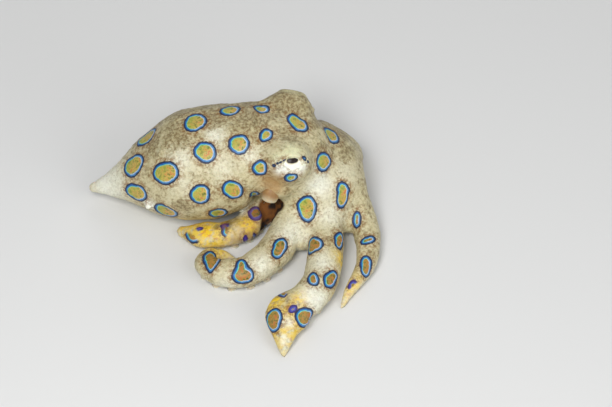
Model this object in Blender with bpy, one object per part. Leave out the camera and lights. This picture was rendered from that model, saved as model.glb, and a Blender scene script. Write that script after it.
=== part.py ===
"""Greater blue-ringed octopus at rest, life size.

The animal lies with its belly and suckers on the ground and its arms drawn up.
+X is the way it faces, +Y is its left side, +Z is up.  Sizes are in metres.
The forms are built about a point on the ground under the eyes, then everything
is moved so that the origin is the bottom centre of the whole animal.
"""
import math

import bmesh
import bpy
from mathutils import Matrix, Vector

MM = 0.001

# Shared sizes
GAP = 0.3 * MM
GROUND_SNAP = 0.16 * MM
HUGE = 200 * MM
SHARP_ANGLE = math.radians(50)

# Facets of the round forms, around and down
FINE_ROUND = (24, 12)
FLAT_ROUND = (24, 8)
SMALL_ROUND = (16, 10)
TINY_ROUND = (12, 8)

# Mantle: distance along the body, height of the middle, radius
MANTLE_SIDES = 20
MANTLE_SECTIONS = (
    (-41.5 * MM, 3.7 * MM, 0.7 * MM),
    (-39.2 * MM, 4.9 * MM, 2.0 * MM),
    (-35.8 * MM, 6.5 * MM, 3.8 * MM),
    (-32.2 * MM, 8.3 * MM, 6.4 * MM),
    (-28.4 * MM, 9.6 * MM, 9.2 * MM),
    (-24.8 * MM, 10.8 * MM, 11.0 * MM),
    (-21.6 * MM, 11.3 * MM, 11.7 * MM),
    (-18.1 * MM, 11.7 * MM, 12.0 * MM),
    (-14.7 * MM, 12.2 * MM, 12.0 * MM),
    (-11.4 * MM, 13.1 * MM, 11.4 * MM),
    (-8.15 * MM, 14.2 * MM, 10.4 * MM),
)
MANTLE_LIP = 0.9 * MM
MANTLE_MOUTH_DEPTH = 1.6 * MM
NECK_CLEARANCE = 1.0 * MM

# Head, neck and the dome that the arms spring from
HEAD_CENTRE = Vector((-1.2, 0.0, 15.2)) * MM
HEAD_RADII = Vector((9.6, 10.0, 8.4)) * MM
NECK_CENTRE = Vector((-7.4, 0.0, 15.6)) * MM
NECK_RADII = Vector((8.6, 10.3, 9.0)) * MM
NECK_BACK = -8.15 * MM + GAP
DOME_CENTRE = Vector((5.0, 0.0, 8.0)) * MM
DOME_RADII = Vector((10.5, 10.5, 7.6)) * MM
DOME_UNDERSIDE = 0.4 * MM
WEB_CENTRE = Vector((4.0, -1.4, 4.6)) * MM
WEB_RADII = Vector((10.0, 10.2, 3.4)) * MM
SHOULDER_CENTRE = Vector((4.6, 3.6, 9.8)) * MM
SHOULDER_RADII = Vector((8.4, 8.0, 7.3)) * MM
PARTING_POINT = Vector((2.0, 0.0, 11.0)) * MM
PARTING_NORMAL = Vector((0.45, 0.0, -0.893)).normalized()
MOUTH_RADIUS = 1.1 * MM
MOUTH_DEPTH = 1.6 * MM

# Eyes, with the lids as a rim round each opening
EYE_RADIUS = 3.0 * MM
EYE_MOUND_CENTRE = Vector((0.1, 7.1, 19.9)) * MM
EYE_MOUND_RADII = Vector((4.25, 4.25, 4.20)) * MM
BROW_CENTRE = Vector((-2.2, 6.8, 19.0)) * MM
BROW_RADII = Vector((5.2, 3.9, 4.6)) * MM
EYE_GAZE = Vector((0.12, 0.73, 0.67)).normalized()
EYE_SET_OUT = 1.05 * MM
LID_HALF_WIDTH = 2.45 * MM
LID_HALF_HEIGHT = 1.65 * MM
LID_THICKNESS = 0.50 * MM
LID_OVERHANG = 1.5
LID_STATIONS = 16
LID_SIDES = 6

# Funnel, on the right side below the eye
FUNNEL_ROOT = Vector((-1.5, -7.9, 14.7)) * MM
FUNNEL_END = Vector((-5.1, -11.4, 12.6)) * MM
FUNNEL_ROOT_RADIUS = 2.45 * MM
FUNNEL_END_RADIUS = 1.75 * MM
FUNNEL_WALL = 0.55 * MM
FUNNEL_BORE_DEPTH = 3.2 * MM
FUNNEL_SIDES = 12
FUNNEL_STATIONS = (0.0, 0.35, 0.7, 1.0)
FUNNEL_TAPER_POWER = 0.8
BORE_INNER_SHARE = 0.8
BORE_OUTER_SHARE = 1.08

# Arms: section and suckers, as shares of the half-width
ARM_SIDES = 10
ARM_TIP_RADIUS = 0.32 * MM
ARM_HEIGHT_SHARE = 0.92
ORAL_FLATTENING = 0.85
RIM_STANDOFF = 0.12
ARM_ROOT_LENGTH = 8.8 * MM
LIFT_FALLOFF = 7.0 * MM
SWELL_PLACE = 0.80
SWELL_SPREAD = 0.09
TAPER_POWER = 0.88
DIRECTION_STEP = 0.25 * MM
SUCKER_SIDES = 6
SUCKER_RADIUS_SHARE = 0.33
SUCKER_ROW_OFFSET = 0.45
SUCKER_SINK = 0.58
SUCKER_PITCH = 0.94
SUCKER_SMALLEST = 0.24 * MM
SUCKER_CLOSEST = 0.55 * MM
SUCKER_ROOT_SHARE = 0.72
SUCKER_MOUTH_SHARE = 0.58
SUCKER_CUP_SHARE = 0.45
SUCKER_SEARCH_STEP = 0.05 * MM
FIRST_SUCKER = 2.6 * MM
SECTION_PITCH = 0.66
SECTION_SHORTEST = 0.8 * MM
LAST_SECTION_SLACK = 1.3
SEGMENT_ENDS = (0.0, 0.36, 0.68, 1.0)
SEGMENT_NAMES = ("base", "middle", "tip")

# Each arm: height where it springs from the dome, fullness of its taper, half-width,
# swelling near the end, and the plan points that its middle line passes, in millimetres
ARMS = {
    "arm_right_1": (8.2, 1.9, 3.3, 0.0, (
        (9.0, -1.8), (12.8, -4.4), (15.1, -8.4), (16.2, -12.4), (16.4, -16.5),
        (15.9, -20.4), (14.1, -24.0), (12.2, -27.4), (10.9, -30.6))),
    "arm_right_2": (7.2, 7.0, 3.8, 0.5, (
        (6.4, -3.6), (7.1, -8.4), (7.4, -12.4), (7.4, -17.0), (7.1, -22.0), (6.0, -27.0),
        (3.5, -31.0), (0.2, -34.0), (-0.9, -37.4), (-1.2, -40.8), (-1.3, -44.0))),
    "arm_right_3": (6.6, 3.8, 3.8, 0.0, (
        (3.4, -3.6), (1.2, -8.6), (-0.9, -13.4), (-3.6, -18.2), (-6.8, -21.6), (-10.6, -23.5),
        (-14.8, -23.0), (-17.5, -20.4), (-16.9, -17.9), (-14.2, -17.0), (-11.4, -17.5))),
    "arm_right_4": (4.7, 2.8, 3.2, 0.0, (
        (1.4, -1.5), (-3.6, -3.7), (-7.0, -7.4), (-10.2, -10.9), (-14.4, -12.2),
        (-19.0, -11.7), (-22.6, -10.0), (-22.4, -8.2))),
    "arm_left_1": (8.2, 1.8, 3.5, 0.0, (
        (8.0, 2.7), (11.3, 5.2), (12.4, 8.5), (11.2, 12.7), (9.1, 16.2), (6.2, 19.1),
        (3.2, 21.3), (0.2, 22.4))),
    "arm_left_2": (7.2, 1.9, 3.4, 0.0, (
        (5.2, 4.0), (5.1, 8.4), (4.3, 12.0), (2.1, 15.3), (-1.0, 18.0), (-4.2, 20.2),
        (-6.8, 22.2), (-9.2, 23.0))),
    "arm_left_3": (6.4, 2.0, 3.4, 0.0, (
        (2.6, 3.2), (-0.2, 7.8), (-3.3, 12.5), (-7.0, 16.0), (-11.4, 18.4), (-16.0, 19.0),
        (-19.8, 17.9), (-22.0, 15.9))),
    "arm_left_4": (4.7, 2.2, 3.0, 0.0, (
        (1.4, 1.5), (-3.8, 3.5), (-7.5, 6.9), (-10.7, 10.7), (-15.0, 12.5),
        (-19.8, 12.3), (-24.0, 11.2), (-26.8, 9.4))),
}

# Colours, as base colour and roughness
SKIN_CREAM = ((0.72, 0.66, 0.46), 0.42)
SKIN_BROWN = ((0.52, 0.42, 0.24), 0.42)
ARM_YELLOW = ((0.78, 0.60, 0.22), 0.40)
FUNNEL_ORANGE = ((0.62, 0.36, 0.16), 0.35)
EYE_DARK = ((0.12, 0.08, 0.04), 0.08)


def clear_scene():
    """Take away whatever the file starts with."""
    for thing in list(bpy.data.objects):
        bpy.data.objects.remove(thing, do_unlink=True)


def new_object(name, bm):
    """Turn a bmesh into a linked object with its faces pointing out."""
    bmesh.ops.recalc_face_normals(bm, faces=bm.faces)
    mesh = bpy.data.meshes.new(name)
    bm.to_mesh(mesh)
    bm.free()
    thing = bpy.data.objects.new(name, mesh)
    bpy.context.scene.collection.objects.link(thing)
    return thing


def loft(name, rings):
    """Lay a surface over a row of equal rings of points and close both ends."""
    bm = bmesh.new()
    rows = [[bm.verts.new(point) for point in ring] for ring in rings]
    count = len(rows[0])
    for low, high in zip(rows, rows[1:]):
        for k in range(count):
            n = (k + 1) % count
            bm.faces.new((low[k], low[n], high[n], high[k]))
    bm.faces.new(rows[0][::-1])
    bm.faces.new(rows[-1])
    return new_object(name, bm)


def ball(name, centre, radii, facets):
    """Make an ellipsoid with its axes along the world's."""
    bm = bmesh.new()
    bmesh.ops.create_uvsphere(bm, u_segments=facets[0], v_segments=facets[1], radius=1.0)
    size = Matrix.Diagonal((radii[0], radii[1], radii[2], 1.0))
    bmesh.ops.transform(bm, matrix=Matrix.Translation(centre) @ size, verts=bm.verts)
    return new_object(name, bm)


def half_space(name, point, normal):
    """Make a block whose near face passes through point and which lies along normal."""
    bm = bmesh.new()
    bmesh.ops.create_cube(bm, size=HUGE)
    turn = normal.to_track_quat("Z", "Y").to_matrix().to_4x4()
    place = Matrix.Translation(point + normal * (HUGE / 2)) @ turn
    bmesh.ops.transform(bm, matrix=place, verts=bm.verts)
    return new_object(name, bm)


def keep_largest_surface(mesh):
    """Drop every closed surface of the mesh but the one with the most faces."""
    bm = bmesh.new()
    bm.from_mesh(mesh)
    left = set(bm.faces)
    islands = []
    while left:
        stack = [left.pop()]
        island = []
        while stack:
            face = stack.pop()
            island.append(face)
            for edge in face.edges:
                for other in edge.link_faces:
                    if other in left:
                        left.remove(other)
                        stack.append(other)
        islands.append(island)
    islands.sort(key=len)
    for island in islands[:-1]:
        bmesh.ops.delete(bm, geom=island, context="FACES")
    bm.to_mesh(mesh)
    bm.free()


def combine(target, others, operation):
    """Join others to the target, or cut them from it, and use them up."""
    group = bpy.data.collections.new("pieces")
    bpy.context.scene.collection.children.link(group)
    for other in others:
        bpy.context.scene.collection.objects.unlink(other)
        group.objects.link(other)
    step = target.modifiers.new("combine", "BOOLEAN")
    step.operation = operation
    step.solver = "EXACT"
    step.operand_type = "COLLECTION"
    step.collection = group
    bpy.context.view_layer.update()
    graph = bpy.context.evaluated_depsgraph_get()
    result = bpy.data.meshes.new_from_object(target.evaluated_get(graph))
    target.modifiers.clear()
    target.data = result
    for other in others:
        bpy.data.objects.remove(other, do_unlink=True)
    bpy.data.collections.remove(group)
    keep_largest_surface(result)
    return target


def copy_of(thing, name):
    """Copy an object with a mesh of its own."""
    twin = thing.copy()
    twin.data = thing.data.copy()
    twin.name = name
    bpy.context.scene.collection.objects.link(twin)
    return twin


def finish(thing, name, look):
    """Name an object, shade it and give it a material of its own."""
    colour, roughness = look
    thing.name = name
    thing.data.name = name
    thing.data.shade_smooth()
    thing.data.set_sharp_from_angle(angle=SHARP_ANGLE)
    thing.data.materials.clear()
    skin = bpy.data.materials.new(name + "_skin")
    skin.use_nodes = True
    shader = skin.node_tree.nodes["Principled BSDF"]
    shader.inputs["Base Color"].default_value = (*colour, 1.0)
    shader.inputs["Roughness"].default_value = roughness
    shader.inputs["Metallic"].default_value = 0.0
    thing.data.materials.append(skin)
    return thing


def smooth_line(points, steps=24):
    """Pass a smooth curve through plan points, as a fine row of points."""
    knots = [Vector(point) * MM for point in points]
    knots = [knots[0] * 2 - knots[1]] + knots + [knots[-1] * 2 - knots[-2]]
    line = []
    for a, b, c, d in zip(knots, knots[1:], knots[2:], knots[3:]):
        for i in range(steps):
            t = i / steps
            line.append(0.5 * ((2 * b) + (c - a) * t + (2 * a - 5 * b + 4 * c - d) * t * t
                               + (3 * b - a - 3 * c + d) * t * t * t))
    line.append(knots[-2])
    return line


class Arm:
    """The middle line, section and suckers of one arm."""

    def __init__(self, springs_at, fullness, half_width, swell, plan):
        self.line = smooth_line(plan)
        self.reach = [0.0]
        for a, b in zip(self.line, self.line[1:]):
            self.reach.append(self.reach[-1] + (b - a).length)
        self.length = self.reach[-1]
        self.fullness = fullness
        self.swell = swell
        self.widest = half_width * MM
        self.lift = springs_at * MM - self.rest_height(0.0)

    def thickness(self, s):
        """Half the arm's plain thickness at a distance along it."""
        share = min(max(s / self.length, 0.0), 1.0)
        taper = (1.0 - share ** self.fullness) ** TAPER_POWER
        return ARM_TIP_RADIUS + (self.widest - ARM_TIP_RADIUS) * taper

    def half_width(self, s):
        """Half the arm's width, with the broad pad that some arms have near the end."""
        share = s / self.length
        return self.thickness(s) * (1.0 + self.swell * math.exp(-((share - SWELL_PLACE) / SWELL_SPREAD) ** 2))

    def rest_height(self, s):
        """Height of the middle line when the suckers' rims are on the ground."""
        return self.thickness(s) * (ARM_HEIGHT_SHARE * ORAL_FLATTENING + RIM_STANDOFF)

    def height(self, s):
        """Height of the middle line, raised where the arm springs from the dome."""
        return self.rest_height(s) + self.lift * math.exp(-(s / LIFT_FALLOFF) ** 2)

    def plan(self, s):
        """Point in plan at a distance along the arm."""
        s = min(max(s, 0.0), self.length)
        for i in range(1, len(self.reach)):
            if self.reach[i] >= s:
                break
        span = self.reach[i] - self.reach[i - 1]
        t = (s - self.reach[i - 1]) / span
        return self.line[i - 1].lerp(self.line[i], t)

    def point(self, s):
        """Point of the middle line at a distance along the arm."""
        spot = self.plan(s)
        return Vector((spot.x, spot.y, self.height(s)))

    def frame(self, s):
        """Middle point, left and up directions at a distance along the arm."""
        ahead = self.point(min(s + DIRECTION_STEP, self.length)) - self.point(max(s - DIRECTION_STEP, 0.0))
        ahead.normalize()
        left = Vector((0.0, 0.0, 1.0)).cross(ahead).normalized()
        return self.point(s), left, ahead.cross(left)

    def ring(self, s):
        """Section of the arm, round above and flatter below."""
        centre, left, up = self.frame(s)
        half = self.half_width(s)
        thick = self.thickness(s)
        points = []
        for k in range(ARM_SIDES):
            angle = 2 * math.pi * (k + 0.5) / ARM_SIDES
            rise = math.sin(angle) * thick * ARM_HEIGHT_SHARE
            if rise < 0:
                rise *= ORAL_FLATTENING
            points.append(centre + left * (math.cos(angle) * half) + up * rise)
        return points

    def stations(self, start, end):
        """Distances at which the arm is given a section, closer where it is thin."""
        spots = [start]
        while end - spots[-1] > LAST_SECTION_SLACK * self.pitch(spots[-1]):
            spots.append(spots[-1] + self.pitch(spots[-1]))
        return spots + [end]

    def pitch(self, s):
        """Distance between two sections of the arm."""
        return max(self.thickness(s) * SECTION_PITCH, SECTION_SHORTEST)

    def tube(self, name, start, end):
        """Solid of one stretch of the arm."""
        return loft(name, [self.ring(s) for s in self.stations(start, end)])

    def sucker(self, s, side):
        """Cup of one sucker, its rim level with the ground where the arm lies on it."""
        centre, left, up = self.frame(s)
        thick = self.thickness(s)
        radius = max(thick * SUCKER_RADIUS_SHARE, SUCKER_SMALLEST)
        middle = centre + left * (side * SUCKER_ROW_OFFSET * self.half_width(s))
        ahead = left.cross(up)
        rim_depth = self.rest_height(s)
        root_depth = thick * ARM_HEIGHT_SHARE * SUCKER_SINK
        levels = ((SUCKER_ROOT_SHARE * radius, root_depth), (radius, rim_depth),
                  (SUCKER_MOUTH_SHARE * radius, rim_depth))
        bm = bmesh.new()
        rows = []
        for size, depth in levels:
            row = []
            for k in range(SUCKER_SIDES):
                angle = 2 * math.pi * (k + 0.5) / SUCKER_SIDES
                spot = middle + left * (math.cos(angle) * size) + ahead * (math.sin(angle) * size)
                spot -= up * depth
                if depth == rim_depth and spot.z < GROUND_SNAP:
                    spot.z = 0.0
                row.append(bm.verts.new(spot))
            rows.append(row)
        cup_depth = rim_depth - SUCKER_CUP_SHARE * (rim_depth - root_depth)
        cup = bm.verts.new(middle - up * cup_depth)
        bm.faces.new(rows[0][::-1])
        for low, high in zip(rows, rows[1:]):
            for k in range(SUCKER_SIDES):
                n = (k + 1) % SUCKER_SIDES
                bm.faces.new((low[k], low[n], high[n], high[k]))
        for k in range(SUCKER_SIDES):
            n = (k + 1) % SUCKER_SIDES
            bm.faces.new((rows[2][k], rows[2][n], cup))
        return new_object("sucker", bm)

    def suckers(self, start, end):
        """Two alternating rows of suckers along a stretch of the arm."""
        made = []
        s = start
        side = 1
        while True:
            radius = max(self.thickness(s) * SUCKER_RADIUS_SHARE, SUCKER_SMALLEST)
            if s + radius + GAP > end:
                return made
            if s - radius - GAP >= start:
                made.append(self.sucker(s, side))
                side = -side
                s += max(SUCKER_PITCH * self.thickness(s) / 2, SUCKER_CLOSEST)
            else:
                s += SUCKER_SEARCH_STEP


def make_mantle():
    """The sack of the body, flat where its belly lies on the ground."""
    rings = []
    for along, middle, radius in MANTLE_SECTIONS:
        ring = []
        for k in range(MANTLE_SIDES):
            angle = 2 * math.pi * (k + 0.5) / MANTLE_SIDES
            y = math.cos(angle) * radius
            z = middle + math.sin(angle) * radius
            if z < GROUND_SNAP:
                z = 0.0
            ring.append(Vector((along, y, z)))
        rings.append(ring)
    mantle = loft("mantle", rings)
    along, middle, radius = MANTLE_SECTIONS[-1]
    inner = radius - MANTLE_LIP
    mouth = loft("mouth", [
        [Vector((x, math.cos(a) * inner, middle + math.sin(a) * inner))
         for a in (2 * math.pi * (k + 0.5) / MANTLE_SIDES for k in range(MANTLE_SIDES))]
        for x in (along - MANTLE_MOUTH_DEPTH, along + MANTLE_MOUTH_DEPTH)])
    clearance = Vector((NECK_CLEARANCE, NECK_CLEARANCE, NECK_CLEARANCE))
    plug = ball("plug", NECK_CENTRE, NECK_RADII + clearance, FINE_ROUND)
    combine(mouth, [plug], "DIFFERENCE")
    combine(mantle, [mouth], "DIFFERENCE")
    return finish(mantle, "mantle", SKIN_CREAM)


def eye_place(side):
    """Middle of an eye mound, of its eyeball, and the way it looks."""
    mirror = Vector((1.0, side, 1.0))
    mound = EYE_MOUND_CENTRE * mirror
    gaze = EYE_GAZE * mirror
    return mound, mound + gaze * EYE_SET_OUT, gaze


def lid_rim(side):
    """The lids: a rounded rim about the eye's opening, heavier above."""
    mound, eye, gaze = eye_place(side)
    along = Vector((1.0, 0.0, 0.0))
    along = (along - gaze * along.dot(gaze)).normalized()
    above = gaze.cross(along)
    if above.z < 0:
        above = -above
    bm = bmesh.new()
    rows = []
    for i in range(LID_STATIONS):
        turn = 2 * math.pi * i / LID_STATIONS
        spoke = along * (math.cos(turn) * LID_HALF_WIDTH) + above * (math.sin(turn) * LID_HALF_HEIGHT)
        out = math.sqrt((EYE_RADIUS + GAP) ** 2 - spoke.length_squared)
        middle = eye + spoke + gaze * out
        outward = spoke.normalized()
        upper = max(math.sin(turn), 0.0)
        thick = LID_THICKNESS * (1.0 + (LID_OVERHANG - 1.0) * upper)
        row = []
        for k in range(LID_SIDES):
            a = 2 * math.pi * k / LID_SIDES
            row.append(bm.verts.new(middle + outward * (math.cos(a) * thick) + gaze * (math.sin(a) * thick)))
        rows.append(row)
    for i in range(LID_STATIONS):
        low = rows[i]
        high = rows[(i + 1) % LID_STATIONS]
        for k in range(LID_SIDES):
            n = (k + 1) % LID_SIDES
            bm.faces.new((low[k], low[n], high[n], high[k]))
    return new_object("lids", bm)


def make_eye(side, name):
    """One eyeball."""
    eye = eye_place(side)[1]
    bulb = ball(name, eye, Vector((EYE_RADIUS, EYE_RADIUS, EYE_RADIUS)), SMALL_ROUND)
    return finish(bulb, name, EYE_DARK)


def funnel_ring(along, radius):
    """Section of the funnel at a share of its length."""
    axis = (FUNNEL_END - FUNNEL_ROOT).normalized()
    across = axis.orthogonal().normalized()
    other = axis.cross(across)
    centre = FUNNEL_ROOT + axis * along
    return [centre + across * (math.cos(a) * radius) + other * (math.sin(a) * radius)
            for a in (2 * math.pi * k / FUNNEL_SIDES for k in range(FUNNEL_SIDES))]


def funnel_body(name, grown):
    """The funnel's outer form, grown all round for its seat in the head."""
    length = (FUNNEL_END - FUNNEL_ROOT).length
    span = FUNNEL_ROOT_RADIUS - FUNNEL_END_RADIUS
    rings = []
    for share in FUNNEL_STATIONS:
        radius = FUNNEL_ROOT_RADIUS - span * share ** FUNNEL_TAPER_POWER
        rings.append(funnel_ring(length * share - (grown if share == 0.0 else 0.0), radius + grown))
    return loft(name, rings)


def make_funnel():
    """The funnel, with its bore open at the end."""
    length = (FUNNEL_END - FUNNEL_ROOT).length
    funnel = funnel_body("funnel", 0.0)
    bore_radius = FUNNEL_END_RADIUS - FUNNEL_WALL
    bore = loft("bore", [funnel_ring(length - FUNNEL_BORE_DEPTH, bore_radius * BORE_INNER_SHARE),
                         funnel_ring(length + MM, bore_radius * BORE_OUTER_SHARE)])
    combine(funnel, [bore], "DIFFERENCE")
    return finish(funnel, "funnel", FUNNEL_ORANGE)


def make_head_and_crown(arms):
    """Head, neck, eye mounds, lids, dome and arm roots as one form, then parted."""
    pieces = [ball("neck", NECK_CENTRE, NECK_RADII, FINE_ROUND),
              ball("dome", DOME_CENTRE, DOME_RADII, FINE_ROUND),
              ball("shoulder", SHOULDER_CENTRE, SHOULDER_RADII, FINE_ROUND),
              ball("web", WEB_CENTRE, WEB_RADII, FLAT_ROUND)]
    for side in (1.0, -1.0):
        pieces.append(ball("brow", BROW_CENTRE * Vector((1.0, side, 1.0)), BROW_RADII, SMALL_ROUND))
        pieces.append(ball("mound", eye_place(side)[0], EYE_MOUND_RADII, SMALL_ROUND))
        pieces.append(lid_rim(side))
    for arm in arms.values():
        pieces.append(arm.tube("root", 0.0, ARM_ROOT_LENGTH))
        pieces.extend(arm.suckers(FIRST_SUCKER, ARM_ROOT_LENGTH))
    whole = ball("whole", HEAD_CENTRE, HEAD_RADII, FINE_ROUND)
    combine(whole, pieces, "UNION")

    head = copy_of(whole, "head")
    cutters = [half_space("front", PARTING_POINT - PARTING_NORMAL * (GAP / 2), PARTING_NORMAL),
               half_space("back", Vector((NECK_BACK, 0.0, 0.0)), Vector((-1.0, 0.0, 0.0))),
               funnel_body("seat", GAP)]
    for side in (1.0, -1.0):
        socket = EYE_RADIUS + GAP
        cutters.append(ball("socket", eye_place(side)[1], Vector((socket, socket, socket)), SMALL_ROUND))
    combine(head, cutters, "DIFFERENCE")
    finish(head, "head", SKIN_BROWN)

    crown = whole
    mouth_top = Vector((DOME_CENTRE.x, 0.0, DOME_UNDERSIDE))
    cutters = [half_space("above", PARTING_POINT + PARTING_NORMAL * (GAP / 2), -PARTING_NORMAL),
               ball("mouth", mouth_top, Vector((MOUTH_RADIUS, MOUTH_RADIUS, MOUTH_DEPTH)), TINY_ROUND)]
    combine(crown, cutters, "DIFFERENCE")
    return head, finish(crown, "crown", SKIN_CREAM)


def make_arm(name, arm):
    """The free length of one arm in three parts, each with its suckers."""
    free = arm.length - ARM_ROOT_LENGTH
    for part, low, high in zip(SEGMENT_NAMES, SEGMENT_ENDS, SEGMENT_ENDS[1:]):
        start = ARM_ROOT_LENGTH + free * low + GAP
        end = ARM_ROOT_LENGTH + free * high
        tube = arm.tube("tube", start, end)
        cups = arm.suckers(start, end)
        if cups:
            combine(tube, cups, "UNION")
        finish(tube, name + "_" + part, ARM_YELLOW if part == "tip" else SKIN_CREAM)


def centre_on_origin():
    """Move the animal so that the origin is the bottom centre of its box."""
    solids = [thing for thing in bpy.data.objects if thing.type == "MESH"]
    corners = [vertex.co for thing in solids for vertex in thing.data.vertices]
    low = Vector([min(corner[i] for corner in corners) for i in range(3)])
    high = Vector([max(corner[i] for corner in corners) for i in range(3)])
    stand = bpy.data.objects.new("octopus", None)
    bpy.context.scene.collection.objects.link(stand)
    stand.location = (-(low.x + high.x) / 2, -(low.y + high.y) / 2, -low.z)
    for thing in solids:
        thing.parent = stand


def main():
    """Build every part of the animal."""
    clear_scene()
    arms = {name: Arm(*sizes) for name, sizes in ARMS.items()}
    make_mantle()
    make_head_and_crown(arms)
    make_eye(1.0, "eye_left")
    make_eye(-1.0, "eye_right")
    make_funnel()
    for name, arm in arms.items():
        make_arm(name, arm)
    centre_on_origin()


main()
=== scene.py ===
"""A greater blue-ringed octopus at rest, life size, its arms drawn up beside it.

Forms are described in millimetres about a point on the ground under the eyes:
+X is the way the animal faces, +Y its left side and +Z up. They are moved into the
frame, in metres, when a mesh is made.
"""
import logging
import math
import random
from dataclasses import dataclass, field
from enum import Enum
from typing import Iterable, Sequence

import bmesh
import bpy
import numpy as np
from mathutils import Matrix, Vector, noise
from mathutils.bvhtree import BVHTree
from mathutils.kdtree import KDTree


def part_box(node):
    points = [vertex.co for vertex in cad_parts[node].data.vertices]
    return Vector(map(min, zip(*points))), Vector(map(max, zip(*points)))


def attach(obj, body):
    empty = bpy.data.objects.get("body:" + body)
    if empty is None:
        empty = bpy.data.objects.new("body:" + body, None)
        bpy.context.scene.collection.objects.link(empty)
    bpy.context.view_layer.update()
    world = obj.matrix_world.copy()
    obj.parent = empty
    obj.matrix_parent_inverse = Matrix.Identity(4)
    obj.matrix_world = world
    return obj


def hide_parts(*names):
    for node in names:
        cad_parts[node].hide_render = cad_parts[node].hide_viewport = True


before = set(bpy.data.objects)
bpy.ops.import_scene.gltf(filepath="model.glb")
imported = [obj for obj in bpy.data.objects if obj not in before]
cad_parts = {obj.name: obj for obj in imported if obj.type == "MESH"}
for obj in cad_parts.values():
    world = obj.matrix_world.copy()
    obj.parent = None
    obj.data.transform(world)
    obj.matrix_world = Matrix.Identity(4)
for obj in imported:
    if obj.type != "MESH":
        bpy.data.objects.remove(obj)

LOG = logging.getLogger("octopus")
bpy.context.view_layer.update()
MM = 0.001
MANTLE_TIP = -41.5
FAR = 50.0
TINY = 1e-6
BARE = 3.0
SEARCH_BATCH = 8000
UP = np.array([0.0, 0.0, 1.0])
Array = np.ndarray
Colour = tuple[float, float, float]
Place = tuple[float, float, float]
Span = tuple[float, float]
Faces = list[tuple[int, ...]]
Socket = bpy.types.NodeSocket
Thing = bpy.types.Object
FLOAT = "NodeSocketFloat"
VECTOR = "NodeSocketVector"


class Slot(Enum):
    """Names of the material slots."""

    BODY = "body_skin"
    ARM = "arm_skin"
    FUNNEL = "funnel"
    EYE = "eye"


class Field(Enum):
    """Names of the values stored at the vertices."""

    RING = "ring_distance"
    # Which side of a ring faces the light, for its painted lit and shaded colours.
    TURN = "ring_turn"
    STRENGTH = "ring_strength"
    VIOLET = "ring_violet"
    BROWN = "brown_cover"
    GOLD = "gold_cover"
    PALE = "pale_cover"
    # Painted shade in and round the pocket under the funnel.
    PAINTED_SHADE = "hollow_shade"
    LID = "lid_tint"
    BLUSH = "blush_cover"
    # Cover of white skin and of painted highlights.
    WHITE = "white_and_highlight_cover"
    UMBER = "ring_umber"
    LIP = "lip_cover"


def frame_shift() -> Vector:
    """Find where the point on the ground under the eyes lies in the frame, in millimetres."""
    low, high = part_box("mantle")
    return Vector((low.x / MM - MANTLE_TIP, (low.y + high.y) / 2 / MM, 0.0))


SHIFT = frame_shift()


def new_piece(name: str, points: Array, faces: Sequence[Sequence[int]]) -> Thing:
    """Make a smooth mesh object in the frame.

    Args:
        name: Name of the object.
        points: Vertices in millimetres.
        faces: Vertex numbers of each face.

    Returns:
        The linked object.
    """
    mesh = bpy.data.meshes.new(name)
    mesh.from_pydata(((points + np.array(SHIFT)) * MM).tolist(), [], faces)
    mesh.shade_smooth()
    mesh.update()
    thing = bpy.data.objects.new(name, mesh)
    bpy.context.scene.collection.objects.link(thing)
    return thing


def store(mesh: bpy.types.Mesh, name: str, values: Array) -> None:
    """Keep one number for each vertex of a mesh under a name."""
    layer = mesh.attributes.new(name, "FLOAT", "POINT")
    layer.data.foreach_set("value", values.astype(np.float32))


def tube_faces(rows: int, sides: int) -> Faces:
    """List the faces of a tube between equal rows of points, with its ends filled.

    Args:
        rows: Number of rows.
        sides: Points in each row.

    Returns:
        Vertex numbers of each face.
    """
    faces = []
    for low in range(0, (rows - 1) * sides, sides):
        high = low + sides
        for k in range(sides):
            n = (k + 1) % sides
            faces.append((low + k, low + n, high + n, high + k))
    faces.append(tuple(range(sides))[::-1])
    faces.append(tuple(range((rows - 1) * sides, rows * sides)))
    return faces


def turns(sides: int) -> Array:
    """Space angles evenly round a circle, in radians."""
    return np.arange(sides) * 2 * math.pi / sides


def ball_points(sides: int, rows: int) -> Array:
    """Lay points on a ball of radius one, row by row up its axis.

    Args:
        sides: Points in each row.
        rows: Number of rows.

    Returns:
        The points.
    """
    turn = turns(sides)
    ball = []
    for tilt in (np.arange(rows) + 0.5) * math.pi / rows:
        ball.append(np.stack([np.cos(turn) * math.sin(tilt), np.sin(turn) * math.sin(tilt),
                              np.full(sides, -math.cos(tilt))], axis=1))
    return np.concatenate(ball)


def smooth_step(values: Array, low: float, high: float) -> Array:
    """Rise smoothly from 0 at low to 1 at high."""
    share = np.clip((values - low) / (high - low), 0.0, 1.0)
    return share * share * (3.0 - 2.0 * share)


def smooth_union(a: Array, b: Array, reach: Array | float) -> Array:
    """Join two distance fields with a fillet.

    Args:
        a: First distances.
        b: Second distances.
        reach: Difference of the distances within which they melt together.

    Returns:
        Distances to the joined form.
    """
    reach = np.maximum(reach, TINY)
    near = np.clip(reach - np.abs(a - b), 0.0, None) / reach
    return np.minimum(a, b) - near * near * reach * 0.25


def length_of(vectors: Array) -> Array:
    """Measure each row of an array."""
    return np.sqrt(np.einsum("ij,ij->i", vectors, vectors))


def hermite_table(x: Array, y: Array, count: int) -> tuple[Array, Array]:
    """Pass a smooth curve through a row of values.

    Args:
        x: Places, rising.
        y: Values at the places.
        count: Number of fine places.

    Returns:
        Fine places and the values there.
    """
    slopes = np.gradient(y, x)
    fine = np.linspace(x[0], x[-1], count)
    i = np.clip(np.searchsorted(x, fine) - 1, 0, len(x) - 2)
    span = x[i + 1] - x[i]
    t = (fine - x[i]) / span
    values = ((2 * t**3 - 3 * t**2 + 1) * y[i] + (t**3 - 2 * t**2 + t) * span * slopes[i]
              + (3 * t**2 - 2 * t**3) * y[i + 1] + (t**3 - t**2) * span * slopes[i + 1])
    return fine, values


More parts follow.
